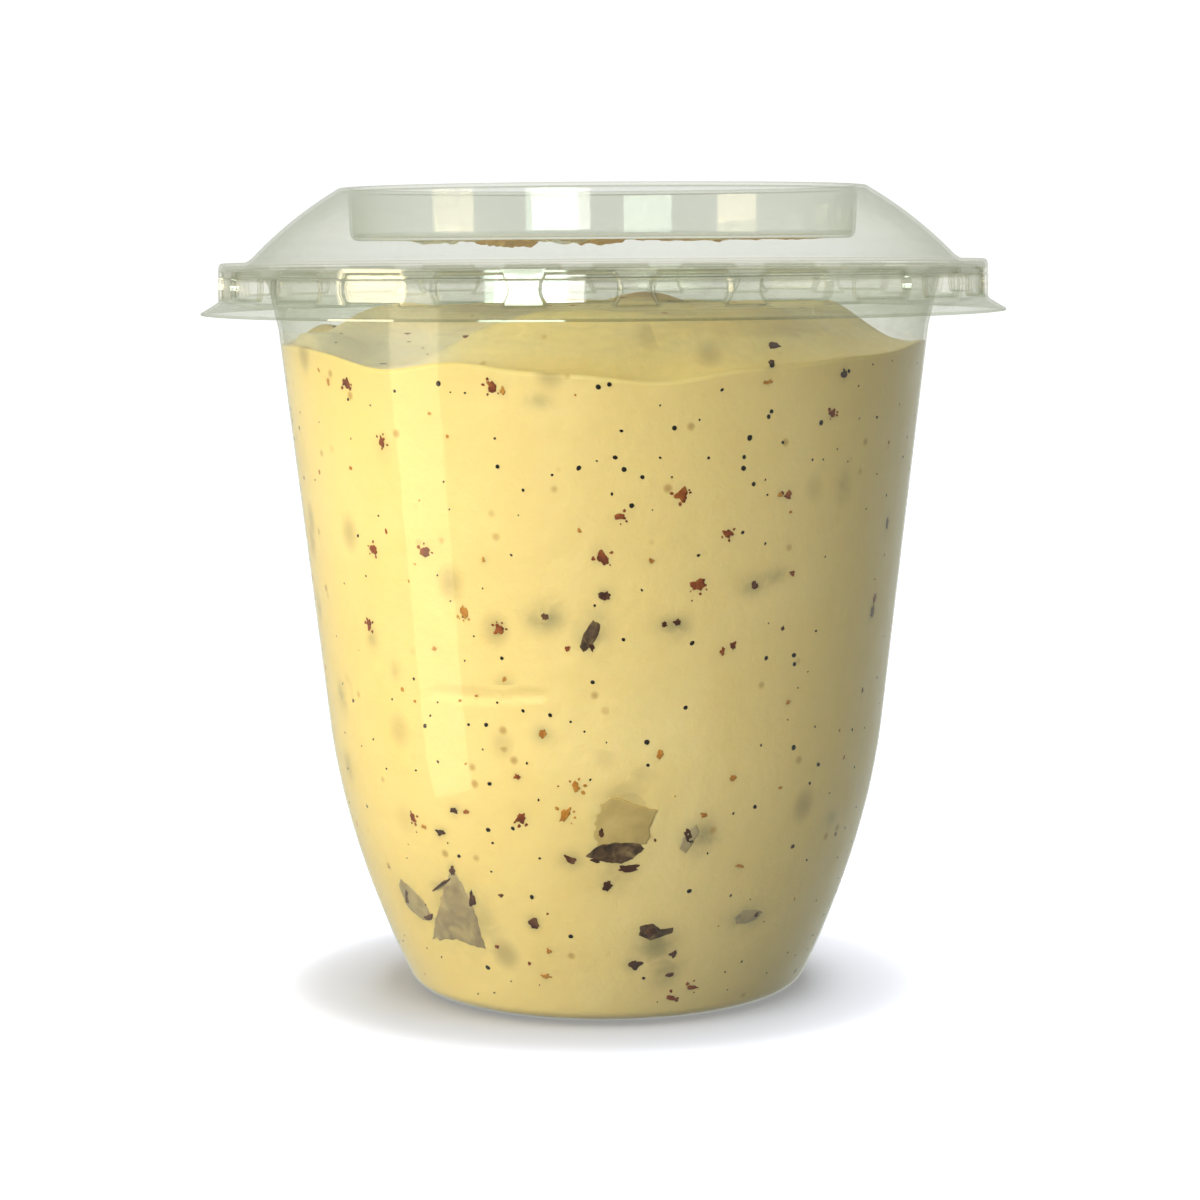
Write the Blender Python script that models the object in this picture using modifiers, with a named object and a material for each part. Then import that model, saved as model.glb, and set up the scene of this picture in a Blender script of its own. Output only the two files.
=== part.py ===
"""Gelato cup: a clear thermoformed cup filled with gelato, with its clear press-fit lid.

Metres, +Z up.  The origin is the centre of the cup's foot, on the surface the
cup stands on.  The front of the cup faces -Y.

    cup     thin clear shell: flat foot, rounded bowl, straight tapered wall,
            flat sealing flange with a turned-down lip
    gelato  the filling, out to the cup's wall, with an uneven mounded top
    lid     thin clear shell: stacking well, sloping shoulder, flat ring over
            the flange, a band of grip lugs and a flared skirt
"""

import math

import bmesh
import bpy
import numpy as np

MM = 0.001

# ------------------------------------------------------------------ cup, in mm
CUP_WALL = 0.45  # sheet thickness
FOOT_HEEL_RADIUS = 3.0  # rounding from the flat foot into the bowl
FOOT_CORNER_RADIUS = 24.9  # where the bowl's line would meet the floor
BOWL_TOP_Z = 34.0  # the curved bowl ends and the straight taper begins
BOWL_TOP_RADIUS = 35.42
BOWL_POWER = 1.9  # how quickly the bowl's side curls in
TAPER_TOP_Z = 84.0
TAPER_TOP_RADIUS = 41.0
NECK_TOP_Z = 89.3  # slight flare under the flange
NECK_TOP_RADIUS = 42.2
FLANGE_TOP_Z = 91.55
FLANGE_INNER_RADIUS = 43.0
FLANGE_RADIUS = 47.5
FLANGE_LIP_DROP = 0.95  # how far the turned-down lip reaches
CUP_SIDES = 48

# -------------------------------------------------------------- gelato, in mm
FIT_GAP = 0.3  # clearance kept between touching pieces
GELATO_EDGE_Z = 81.6  # where the filling meets the wall
GELATO_FRONT_DIP = 3.2  # the edge sags at the front
GELATO_BACK_RISE = 2.6  # and climbs the wall at the back
GELATO_MOUND = 5.2  # height of the mound over the edge
GELATO_MOUND_REACH = 0.92  # share of the radius the mound fills
GELATO_MOUND_SHOULDER = 8  # how squarely the mound's flat top breaks to its side
GELATO_FOLDS = 0.3  # height of the scoop folds on the mound
GELATO_FOLD_COUNT = 3

# ----------------------------------------------------------------- lid, in mm
LID_WALL = 0.40
WELL_FLOOR_Z = 95.3
WELL_RADIUS = 31.7
WELL_DRAFT = 0.25
CREST_Z = 101.5
CREST_WIDTH = 1.5
CREST_ROUND = 0.6
SHOULDER_TOP_RADIUS = 33.7
SHOULDER_TOP_Z = 101.15
SHOULDER_FOOT_RADIUS = 44.2
SHOULDER_FOOT_Z = 92.8
SHOULDER_BULGE = 0.45
RING_TOP_Z = 92.25
RING_RADIUS = 48.35
RING_CORNER = 0.95
CREASE_Z = 90.25
SKIRT_TOP_Z = 87.9
SKIRT_TOP_RADIUS = 48.75
SKIRT_RADIUS = 50.65
SKIRT_Z = 85.75
LUG_COUNT = 24
LUG_DEPTH = 0.55  # how far each grip lug is pressed in
LUG_PHASE_DEG = -0.65
LID_SIDES = 3 * LUG_COUNT


# ------------------------------------------------------------------ utilities
def clear_scene():
    for obj in list(bpy.data.objects):
        bpy.data.objects.remove(obj, do_unlink=True)
    for collection in list(bpy.data.collections):
        bpy.data.collections.remove(collection)


def make_material(name, colour, roughness, metallic=0.0, alpha=1.0):
    material = bpy.data.materials.new(name)
    material.use_nodes = True
    shader = material.node_tree.nodes["Principled BSDF"]
    shader.inputs["Base Color"].default_value = (*colour, 1.0)
    shader.inputs["Roughness"].default_value = roughness
    shader.inputs["Metallic"].default_value = metallic
    shader.inputs["Alpha"].default_value = alpha
    material.diffuse_color = (*colour, alpha)
    return material


def arc_between(start, end, bulge, steps):
    """Points of the arc from start to end whose middle stands bulge proud of the chord, to its left."""
    (x0, z0), (x1, z1) = start, end
    chord = math.hypot(x1 - x0, z1 - z0)
    nx, nz = -(z1 - z0) / chord, (x1 - x0) / chord
    points = []
    for i in range(steps + 1):
        t = i / steps
        lift = 4.0 * bulge * t * (1.0 - t)
        points.append((x0 + (x1 - x0) * t + nx * lift, z0 + (z1 - z0) * t + nz * lift))
    return points


def rounded(corners):
    """A polyline from (r, z, rounding, steps) corners, each rounded by an arc that touches both sides."""
    points = []
    for i, (r, z, rounding, steps) in enumerate(corners):
        if rounding <= 0 or i in (0, len(corners) - 1):
            points.append((r, z))
            continue
        here = np.array((r, z))
        back = np.array(corners[i - 1][:2]) - here
        ahead = np.array(corners[i + 1][:2]) - here
        back_length, ahead_length = np.linalg.norm(back), np.linalg.norm(ahead)
        back, ahead = back / back_length, ahead / ahead_length
        half = 0.5 * math.acos(float(np.clip(back @ ahead, -1.0, 1.0)))
        reach = min(rounding / math.tan(half), 0.49 * back_length, 0.49 * ahead_length)
        radius = reach * math.tan(half)
        middle = back + ahead
        centre = here + middle / np.linalg.norm(middle) * radius / math.sin(half)
        first, last = here + back * reach - centre, here + ahead * reach - centre
        turn = math.acos(float(np.clip(first @ last / radius**2, -1.0, 1.0)))
        for k in range(steps + 1):
            a = k / steps
            spot = (
                math.sin((1 - a) * turn) * first + math.sin(a * turn) * last
            ) / math.sin(turn)
            points.append(tuple(centre + spot))
    return points


def offset_line(points, distance):
    """The polyline moved sideways by distance, to the right of its own direction."""
    line = np.array(points, float)
    steps = np.diff(line, axis=0)
    steps /= np.linalg.norm(steps, axis=1)[:, None]
    normals = np.stack([steps[:, 1], -steps[:, 0]], axis=1)
    moved = []
    for i in range(len(line)):
        before = normals[max(i - 1, 0)]
        after = normals[min(i, len(normals) - 1)]
        mitre = before + after
        mitre /= mitre @ after
        moved.append(tuple(line[i] + mitre * distance))
    return moved


def turned(name, profile, sides, collection):
    """A surface of revolution: the (r, z) profile in mm, turned about Z with a Screw modifier, then made a plain mesh."""
    mesh = bpy.data.meshes.new(name + "_profile")
    bm = bmesh.new()
    verts = [bm.verts.new((r * MM, 0.0, z * MM)) for r, z in profile]
    for a, b in zip(verts, verts[1:]):
        bm.edges.new((a, b))
    bm.to_mesh(mesh)
    bm.free()
    source = bpy.data.objects.new(name + "_profile", mesh)
    collection.objects.link(source)
    screw = source.modifiers.new("turn", "SCREW")
    screw.axis = "Z"
    screw.angle = 2.0 * math.pi
    screw.steps = sides
    screw.render_steps = sides
    screw.use_merge_vertices = True
    screw.merge_threshold = 0.00002
    screw.use_smooth_shade = True
    bpy.context.view_layer.update()
    graph = bpy.context.evaluated_depsgraph_get()
    made = bpy.data.meshes.new_from_object(source.evaluated_get(graph))
    made.name = name
    bpy.data.objects.remove(source, do_unlink=True)
    obj = bpy.data.objects.new(name, made)
    collection.objects.link(obj)
    return obj


def make_shell(obj, thickness):
    """Gives an open turned surface the sheet's thickness, on the side away from its outside."""
    solid = obj.modifiers.new("sheet", "SOLIDIFY")
    solid.thickness = thickness * MM
    solid.offset = -1.0
    solid.use_even_offset = True
    solid.use_rim = True


def smooth(obj, degrees):
    obj.data.shade_smooth()
    obj.data.set_sharp_from_angle(angle=math.radians(degrees))


# ------------------------------------------------------------------ profiles
def wall_radius(z):
    """Outer radius of the cup's side at height z: a straight taper, curling in below the top of the bowl."""
    slope = (TAPER_TOP_RADIUS - BOWL_TOP_RADIUS) / (TAPER_TOP_Z - BOWL_TOP_Z)
    radius = BOWL_TOP_RADIUS + slope * (z - BOWL_TOP_Z)
    if z < BOWL_TOP_Z:
        pull = BOWL_TOP_RADIUS - slope * BOWL_TOP_Z - FOOT_CORNER_RADIUS
        radius -= pull * (1.0 - z / BOWL_TOP_Z) ** BOWL_POWER
    return radius


def bowl_corners():
    """The side from the taper's top down to the centre of the foot."""
    corners = [(TAPER_TOP_RADIUS, TAPER_TOP_Z, 0.0, 0)]
    heights = [BOWL_TOP_Z * share for share in (1.0, 0.74, 0.52, 0.34, 0.19, 0.09)]
    corners += [(wall_radius(z), z, 0.0, 0) for z in heights]
    corners.append((FOOT_CORNER_RADIUS, 0.0, FOOT_HEEL_RADIUS, 3))
    corners.append((0.0, 0.0, 0.0, 0))
    return corners


def cup_profile():
    """Outside of the cup, from the lip's lower edge, under the flange and down the wall to the centre of the foot."""
    under = FLANGE_TOP_Z - CUP_WALL
    lip_inside = FLANGE_RADIUS - CUP_WALL
    rim = [
        (lip_inside, FLANGE_TOP_Z - FLANGE_LIP_DROP, 0.0, 0),
        (lip_inside, under, 0.3, 1),
        (FLANGE_INNER_RADIUS, under, 1.1, 2),
        (NECK_TOP_RADIUS, NECK_TOP_Z, 0.0, 0),
    ]
    return rounded(rim + bowl_corners())


def gelato_edge(angle):
    """Height at which the filling meets the wall, for an angle from the front, in radians."""
    sag = math.exp(-((angle - math.radians(9.0)) ** 2) / math.radians(24.0) ** 2)
    left_sag = math.exp(-((angle + math.radians(40.0)) ** 2) / math.radians(12.0) ** 2)
    climb = 0.5 * (1.0 - math.cos(angle))
    return (
        GELATO_EDGE_Z
        - GELATO_FRONT_DIP * sag
        - 0.4 * GELATO_FRONT_DIP * left_sag
        + GELATO_BACK_RISE * climb**2
    )


def gelato_top(share, angle):
    """Height of the filling's top at a share of its radius: a scooped mound that falls away to the wall."""
    edge = gelato_edge(angle)
    rise = GELATO_EDGE_Z + GELATO_MOUND - edge
    inside = max(0.0, 1.0 - (share / GELATO_MOUND_REACH) ** GELATO_MOUND_SHOULDER)
    fold = GELATO_FOLDS * math.sin(GELATO_FOLD_COUNT * angle + 7.0 * share)
    return edge + (rise + fold) * inside


def gelato_side():
    """The filling's side, from the foot's centre up, one sheet and one gap inside the cup."""
    outside = rounded(bowl_corners())[::-1]
    inside = offset_line(outside, -(CUP_WALL + FIT_GAP))
    inside[0] = (0.0, CUP_WALL + FIT_GAP)
    return inside


def lid_profile():
    """Exposed side of the lid, from the centre of the well's floor out and down to the skirt's edge."""
    well = [
        (0.0, WELL_FLOOR_Z, 0.0, 0),
        (WELL_RADIUS - WELL_DRAFT, WELL_FLOOR_Z, 0.7, 1),
        (WELL_RADIUS, CREST_Z, CREST_ROUND, 1),
        (WELL_RADIUS + CREST_WIDTH, CREST_Z, 1.2, 1),
    ]
    shoulder = arc_between(
        (SHOULDER_TOP_RADIUS, SHOULDER_TOP_Z),
        (SHOULDER_FOOT_RADIUS, SHOULDER_FOOT_Z),
        SHOULDER_BULGE,
        3,
    )
    ring = [
        (SHOULDER_FOOT_RADIUS + 0.9, RING_TOP_Z, 0.0, 0),
        (RING_RADIUS - 0.1, RING_TOP_Z, RING_CORNER, 1),
        (RING_RADIUS + 0.1, CREASE_Z, 0.0, 0),
    ]
    skirt = [
        (SKIRT_TOP_RADIUS - 0.15, SKIRT_TOP_Z + 0.7, 0.0, 0),
        (SKIRT_TOP_RADIUS, SKIRT_TOP_Z, 0.0, 0),
        (SKIRT_TOP_RADIUS + 0.75, SKIRT_TOP_Z - 1.0, 0.0, 0),
        (SKIRT_RADIUS, SKIRT_Z, 0.0, 0),
    ]
    lug_top = (RING_RADIUS + 0.1, CREASE_Z - 0.45, 0.0, 0)
    return rounded(
        well
        + [(r, z, 0.0, 0) for r, z in shoulder]
        + ring
        + [lug_top]
        + skirt
    )


# -------------------------------------------------------------------- pieces
def build_cup(collection):
    cup = turned("cup", cup_profile(), CUP_SIDES, collection)
    make_shell(cup, CUP_WALL)
    smooth(cup, 35)
    cup.data.materials.append(
        make_material("cup_clear_plastic", (0.80, 0.82, 0.77), 0.06, alpha=0.3)
    )
    return cup


def build_gelato(collection):
    side = gelato_side()[:-1]
    rim_radius = side[-1][0]
    slope = (TAPER_TOP_RADIUS - BOWL_TOP_RADIUS) / (TAPER_TOP_Z - BOWL_TOP_Z)
    rim_z = side[-1][1]
    flat_z = GELATO_EDGE_Z
    edge_radius = rim_radius + slope * (flat_z - rim_z)
    shares = (1.0, 0.93, 0.82, 0.66, 0.45, 0.22, 0.0)
    profile = [(edge_radius * s, flat_z) for s in shares[::-1]] + side[::-1]
    gelato = turned("gelato", profile, CUP_SIDES, collection)
    for vertex in gelato.data.vertices:
        x, y, z = vertex.co / MM
        if z < flat_z - 0.01:
            continue
        share = math.hypot(x, y) / edge_radius
        angle = math.atan2(x, -y) if share > 1e-6 else 0.0
        height = gelato_top(share, angle)
        # The edge keeps to the sloping wall as it rises and falls.
        scale = 1.0 + share**6 * slope * (height - flat_z) / edge_radius
        vertex.co = (x * scale * MM, y * scale * MM, height * MM)
    smooth(gelato, 40)
    gelato.data.materials.append(make_material("gelato_cream", (0.89, 0.72, 0.38), 0.45))
    return gelato


def build_lid(collection):
    lid = turned("lid", lid_profile(), LID_SIDES, collection)
    lug_top = CREASE_Z - 0.45
    lug_bottom = SKIRT_TOP_Z + 0.7
    step = 2.0 * math.pi / LID_SIDES
    for vertex in lid.data.vertices:
        x, y, z = vertex.co / MM
        radius = math.hypot(x, y)
        if radius < RING_RADIUS - 1.0 or not lug_bottom - 0.05 < z < lug_top + 0.05:
            continue
        column = round(math.atan2(y, x) / step) % 3
        if column != 1:
            scale = 1.0 - LUG_DEPTH / radius
            vertex.co.x *= scale
            vertex.co.y *= scale
    lid.rotation_euler = (0.0, 0.0, math.radians(LUG_PHASE_DEG))
    make_shell(lid, LID_WALL)
    smooth(lid, 35)
    lid.data.materials.append(
        make_material("lid_clear_plastic", (0.78, 0.82, 0.75), 0.06, alpha=0.3)
    )
    return lid


def main():
    clear_scene()
    collection = bpy.data.collections.new("gelato_cup")
    bpy.context.scene.collection.children.link(collection)
    root = bpy.data.objects.new("gelato_cup_origin", None)
    root.empty_display_size = 0.02
    collection.objects.link(root)
    for piece in (build_cup(collection), build_gelato(collection), build_lid(collection)):
        piece.parent = root


main()
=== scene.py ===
"""Looks of the gelato cup: clear cup and lid, speckled gelato, seeds, flecks, date pieces and smears.

Metres, in the row frame.  Angles called phi are measured round +Z from the
front (-Y), positive towards +X.  Lengths in the tables are in millimetres.
"""

import math

import bmesh
import bpy
import numpy as np
from mathutils import Euler, Matrix, Vector, noise


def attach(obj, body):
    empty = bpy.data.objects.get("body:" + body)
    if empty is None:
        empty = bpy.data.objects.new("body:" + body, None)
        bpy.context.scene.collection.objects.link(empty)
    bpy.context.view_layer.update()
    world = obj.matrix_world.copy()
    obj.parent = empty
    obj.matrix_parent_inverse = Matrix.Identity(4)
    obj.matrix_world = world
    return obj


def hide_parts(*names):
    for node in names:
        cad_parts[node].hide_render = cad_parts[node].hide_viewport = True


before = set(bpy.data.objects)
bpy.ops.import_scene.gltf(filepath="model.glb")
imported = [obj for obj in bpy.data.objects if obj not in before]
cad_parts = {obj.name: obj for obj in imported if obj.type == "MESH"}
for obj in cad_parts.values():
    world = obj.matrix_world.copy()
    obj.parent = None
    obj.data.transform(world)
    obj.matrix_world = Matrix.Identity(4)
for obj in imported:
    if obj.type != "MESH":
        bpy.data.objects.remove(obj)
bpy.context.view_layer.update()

MM = 0.001
RNG = np.random.default_rng(20451)

# ------------------------------------------------------------------ sizes, mm
CUP_WALL = 0.45
FOOT_HEEL_RADIUS = 3.0
FOOT_CORNER_RADIUS = 24.9
BOWL_TOP_Z = 34.0
BOWL_TOP_RADIUS = 35.42
BOWL_POWER = 1.9
TAPER_TOP_Z = 84.0
TAPER_TOP_RADIUS = 41.0
NECK_TOP_Z = 89.3
NECK_TOP_RADIUS = 42.2
FLANGE_TOP_Z = 91.55
FLANGE_INNER_RADIUS = 43.0
FLANGE_RADIUS = 47.5
FLANGE_LIP_DROP = 0.95

LID_WALL = 0.40
WELL_FLOOR_Z = 95.3
WELL_RADIUS = 31.7
WELL_DRAFT = 0.25
CREST_Z = 101.5
CREST_WIDTH = 1.5
SHOULDER_TOP_RADIUS = 33.7
SHOULDER_TOP_Z = 101.15
SHOULDER_FOOT_RADIUS = 44.2
SHOULDER_FOOT_Z = 92.8
SHOULDER_BULGE = 0.45
RING_TOP_Z = 92.25
RING_RADIUS = 48.35
CREASE_Z = 90.45
SKIRT_TOP_Z = 87.9
SKIRT_TOP_RADIUS = 48.75
SKIRT_RADIUS = 50.65
SKIRT_Z = 85.75
LUG_COUNT = 24
LUG_DEPTH = 0.6
LUG_WIDTH_DEG = 10.7
LUG_CENTRE_DEG = -3.15
LUG_ROUND_DEG = 0.95  # how much nearer the middle a lug's end is at its top and foot
LUG_TOP_Z = 91.25
LUG_FOOT_Z = 87.6

BITE = 0.30  # how far the gelato reaches into the cup's wall
PROUD = 0.55  # share of a piece's stated relief that stands out of the cream


# ------------------------------------------------------------------ utilities
def smoothstep(a, b, x):
    t = np.clip((np.asarray(x, float) - a) / (b - a), 0.0, 1.0)
    return t * t * (3.0 - 2.0 * t)


def rounded(corners):
    """A polyline from (r, z, rounding, steps) corners, each rounded by an arc that touches both sides."""
    points = []
    for i, (r, z, rounding, steps) in enumerate(corners):
        if rounding <= 0 or i in (0, len(corners) - 1):
            points.append((r, z))
            continue
        here = np.array((r, z))
        back = np.array(corners[i - 1][:2]) - here
        ahead = np.array(corners[i + 1][:2]) - here
        back_length, ahead_length = np.linalg.norm(back), np.linalg.norm(ahead)
        back, ahead = back / back_length, ahead / ahead_length
        half = 0.5 * math.acos(float(np.clip(back @ ahead, -1.0, 1.0)))
        reach = min(rounding / math.tan(half), 0.49 * back_length, 0.49 * ahead_length)
        radius = reach * math.tan(half)
        middle = back + ahead
        centre = here + middle / np.linalg.norm(middle) * radius / math.sin(half)
        first, last = here + back * reach - centre, here + ahead * reach - centre
        turn = math.acos(float(np.clip(first @ last / radius**2, -1.0, 1.0)))
        for k in range(steps + 1):
            a = k / steps
            spot = (
                math.sin((1 - a) * turn) * first + math.sin(a * turn) * last
            ) / math.sin(turn)
            points.append(tuple(centre + spot))
    return points


def offset_line(points, distance):
    """The polyline moved sideways by distance, to the right of its own direction."""
    line = np.array(points, float)
    steps = np.diff(line, axis=0)
    steps /= np.linalg.norm(steps, axis=1)[:, None]
    normals = np.stack([steps[:, 1], -steps[:, 0]], axis=1)
    moved = []
    for i in range(len(line)):
        before = normals[max(i - 1, 0)]
        after = normals[min(i, len(normals) - 1)]
        mitre = before + after
        mitre /= mitre @ after
        moved.append(tuple(line[i] + mitre * distance))
    return moved


def supported(points, near=0.12):
    """The polyline with extra points beside each small rounding, so that flat runs stay flat when shaded smooth."""
    line = [np.array(p, float) for p in points]
    out = [line[0]]
    for i in range(len(line) - 1):
        a, b = line[i], line[i + 1]
        length = np.linalg.norm(b - a)
        along = (b - a) / length

        def turning(other):
            span = np.linalg.norm(other)
            return span < 0.6 and abs(along @ other / span) < math.cos(math.radians(4))

        if length > 4 * near:
            if i > 0 and turning(a - line[i - 1]):
                out.append(a + along * near)
            if i + 2 < len(line) and turning(line[i + 2] - b):
                out.append(b - along * near)
        out.append(b)
    return [tuple(p) for p in out]


def paint(obj, name, values):
    """Stores one number per vertex, which a material reads by name."""
    layer = obj.data.attributes.new(name, "FLOAT", "POINT")
    layer.data.foreach_set("value", np.asarray(values, np.float32))


def paint_bends(obj, from_curve=0.2, to_curve=1.7):
    """Marks how tightly the surface bends, per mm, at each vertex: the clear material paints shade lines and extra
    gloss along the bends, where thick clear sheet shows lines.
    """
    bm = bmesh.new()
    bm.from_mesh(obj.data)
    bm.normal_update()
    bends = np.zeros(len(bm.verts))
    for edge in bm.edges:
        if len(edge.link_faces) != 2:
            continue
        first, second = edge.link_faces
        gap = (first.calc_center_median() - second.calc_center_median()).length / MM
        curve = first.normal.angle(second.normal, 0.0) / max(gap, 0.02)
        for vert in edge.verts:
            bends[vert.index] = max(bends[vert.index], curve)
    bm.free()
    paint(obj, "bend", np.clip((bends - from_curve) / (to_curve - from_curve), 0, 1))


def make_object(name, verts, faces, material, smooth_angle=None):
    """A shaded mesh object from vertices in metres, with its normals made consistent."""
    mesh = bpy.data.meshes.new(name)
    mesh.from_pydata([tuple(v) for v in verts], [], [tuple(f) for f in faces])
    bm = bmesh.new()
    bm.from_mesh(mesh)
    bmesh.ops.recalc_face_normals(bm, faces=bm.faces)
    bm.to_mesh(mesh)
    bm.free()
    mesh.shade_smooth()
    if smooth_angle:
        mesh.set_sharp_from_angle(angle=math.radians(smooth_angle))
    mesh.materials.append(material)
    obj = bpy.data.objects.new(name, mesh)
    bpy.context.scene.collection.objects.link(obj)
    return obj


def revolve(radii, heights, phis):
    """Vertices and faces of a closed band of rows x columns, in mm; rows at radius 0 become one point."""
    rows, cols = radii.shape
    phis = np.broadcast_to(phis, radii.shape)
    verts, index = [], np.zeros((rows, cols), int)
    for i in range(rows):
        if np.all(radii[i] < 1e-6):
            index[i, :] = len(verts)
            verts.append((0.0, 0.0, float(heights[i, 0])))
            continue
        for j in range(cols):
            index[i, j] = len(verts)
            r = radii[i, j]
            verts.append(
                (r * math.sin(phis[i, j]), -r * math.cos(phis[i, j]), heights[i, j])
            )
    faces = []
    for i in range(rows - 1):
        for j in range(cols):
            k = (j + 1) % cols
            quad = [index[i, j], index[i, k], index[i + 1, k], index[i + 1, j]]
            ring = [q for n, q in enumerate(quad) if q != quad[n - 1]]
            if len(ring) >= 3:
                faces.append(ring)
    return np.array(verts) * MM, faces


# ------------------------------------------------------------------ profiles
def wall_radius(z):
    slope = (TAPER_TOP_RADIUS - BOWL_TOP_RADIUS) / (TAPER_TOP_Z - BOWL_TOP_Z)
    radius = BOWL_TOP_RADIUS + slope * (z - BOWL_TOP_Z)
    pull = BOWL_TOP_RADIUS - slope * BOWL_TOP_Z - FOOT_CORNER_RADIUS
    low = np.clip(1.0 - np.asarray(z, float) / BOWL_TOP_Z, 0.0, 1.0)
    return radius - pull * low**BOWL_POWER


def bowl_corners(fine):
    corners = [(TAPER_TOP_RADIUS, TAPER_TOP_Z, 0.0, 0)]
    for z in np.linspace(TAPER_TOP_Z, BOWL_TOP_Z, 12)[1:]:
        corners.append((float(wall_radius(z)), float(z), 0.0, 0))
    for share in np.linspace(1.0, 0.09, fine)[1:]:
        z = BOWL_TOP_Z * share
        corners.append((float(wall_radius(z)), float(z), 0.0, 0))
    corners.append((FOOT_CORNER_RADIUS, 0.0, FOOT_HEEL_RADIUS, 8))
    corners.append((0.0, 0.0, 0.0, 0))
    return corners


def cup_outside():
    under = FLANGE_TOP_Z - CUP_WALL
    lip_inside = FLANGE_RADIUS - CUP_WALL
    rim = [
        (lip_inside, FLANGE_TOP_Z - FLANGE_LIP_DROP, 0.0, 0),
        (lip_inside, under, 0.3, 4),
        (FLANGE_INNER_RADIUS, under, 1.1, 6),
        (NECK_TOP_RADIUS, NECK_TOP_Z, 0.0, 0),
    ]
    return supported(rounded(rim + bowl_corners(26)))


def shoulder_points(steps):
    (x0, z0), (x1, z1) = (
        (SHOULDER_TOP_RADIUS, SHOULDER_TOP_Z),
        (SHOULDER_FOOT_RADIUS, SHOULDER_FOOT_Z),
    )
    chord = math.hypot(x1 - x0, z1 - z0)
    nx, nz = -(z1 - z0) / chord, (x1 - x0) / chord
    points = []
    for i in range(steps + 1):
        t = i / steps
        lift = 4.0 * SHOULDER_BULGE * t * (1.0 - t)
        points.append(
            (x0 + (x1 - x0) * t + nx * lift, z0 + (z1 - z0) * t + nz * lift, 0.0, 0)
        )
    return points


def lid_outside():
    well = [
        (0.0, WELL_FLOOR_Z, 0.0, 0),
        (10.0, WELL_FLOOR_Z, 0.0, 0),
        (20.0, WELL_FLOOR_Z, 0.0, 0),
        (27.0, WELL_FLOOR_Z, 0.0, 0),
        (WELL_RADIUS - WELL_DRAFT, WELL_FLOOR_Z, 0.7, 6),
        (WELL_RADIUS, CREST_Z, 0.6, 6),
        (WELL_RADIUS + CREST_WIDTH, CREST_Z, 1.2, 6),
    ]
    ring = [
        (SHOULDER_FOOT_RADIUS + 0.9, RING_TOP_Z, 0.28, 3),
        (RING_RADIUS - 0.1, RING_TOP_Z, 0.8, 6),
    ]
    band = [(RING_RADIUS, z, 0.0, 0) for z in (91.32, 91.16, 91.0, 90.84, 90.66)]
    crease = [
        (RING_RADIUS + 0.02, CREASE_Z + 0.11, 0.0, 0),
        (RING_RADIUS - 0.10, CREASE_Z + 0.02, 0.0, 0),
        (RING_RADIUS + 0.05, CREASE_Z - 0.09, 0.0, 0),
    ]
    band_below = [
        (RING_RADIUS + 0.05, z, 0.0, 0)
        for z in (90.2, 89.8, 89.4, 89.0, 88.6, 88.25, 87.95, 87.72, 87.54)
    ]
    skirt = [
        (SKIRT_TOP_RADIUS - 0.2, SKIRT_TOP_Z - 0.55, 0.3, 3),
        (SKIRT_TOP_RADIUS + 0.75, SKIRT_TOP_Z - 1.15, 1.2, 4),
        (SKIRT_RADIUS - 0.30, SKIRT_Z + 0.50, 0.2, 2),
        (SKIRT_RADIUS - 0.03, SKIRT_Z + 0.36, 0.0, 0),
        (SKIRT_RADIUS, SKIRT_Z + 0.12, 0.0, 0),
    ]
    outer = ring + band + crease + band_below + skirt
    return supported(rounded(well + shoulder_points(12) + outer))


# ------------------------------------------------- gelato surface, angle phi
def bump_at(phi, centre_deg, width_deg):
    d = (phi - math.radians(centre_deg) + math.pi) % (2 * math.pi) - math.pi
    return np.exp(-((d / math.radians(width_deg)) ** 2))


def contact_height(phi):
    """Where the gelato meets the wall: sagging at the front, higher at the sides and the back."""
    z = 81.0 + 0.6 * (1.0 - np.cos(phi))
    z = z + 3.4 * bump_at(phi, 180, 62)
    z = z - 2.5 * bump_at(phi, 9, 13) - 0.75 * bump_at(phi, -12, 12)
    z = z - 0.9 * bump_at(phi, -40, 9) + 0.25 * bump_at(phi, -25, 7)
    z = z - 0.55 * bump_at(phi, 33, 10) + 0.6 * bump_at(phi, -70, 14)
    z = z + 1.3 * bump_at(phi, -114, 9) - 3.6 * bump_at(phi, -141, 15)
    z = z - 1.8 * bump_at(phi, 112, 13) + 0.3 * bump_at(phi, 74, 12)
    return z + 0.18 * np.sin(5 * phi + 1.0) + 0.12 * np.sin(11 * phi)


def fractal(x, y, scale, seed, octaves=3):
    total, size = 0.0, 1.0
    for k in range(octaves):
        f = 2.0**k / scale
        total += size * noise.noise(Vector((x * f, y * f, seed + 7.3 * k)))
        size *= 0.5
    return total


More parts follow.
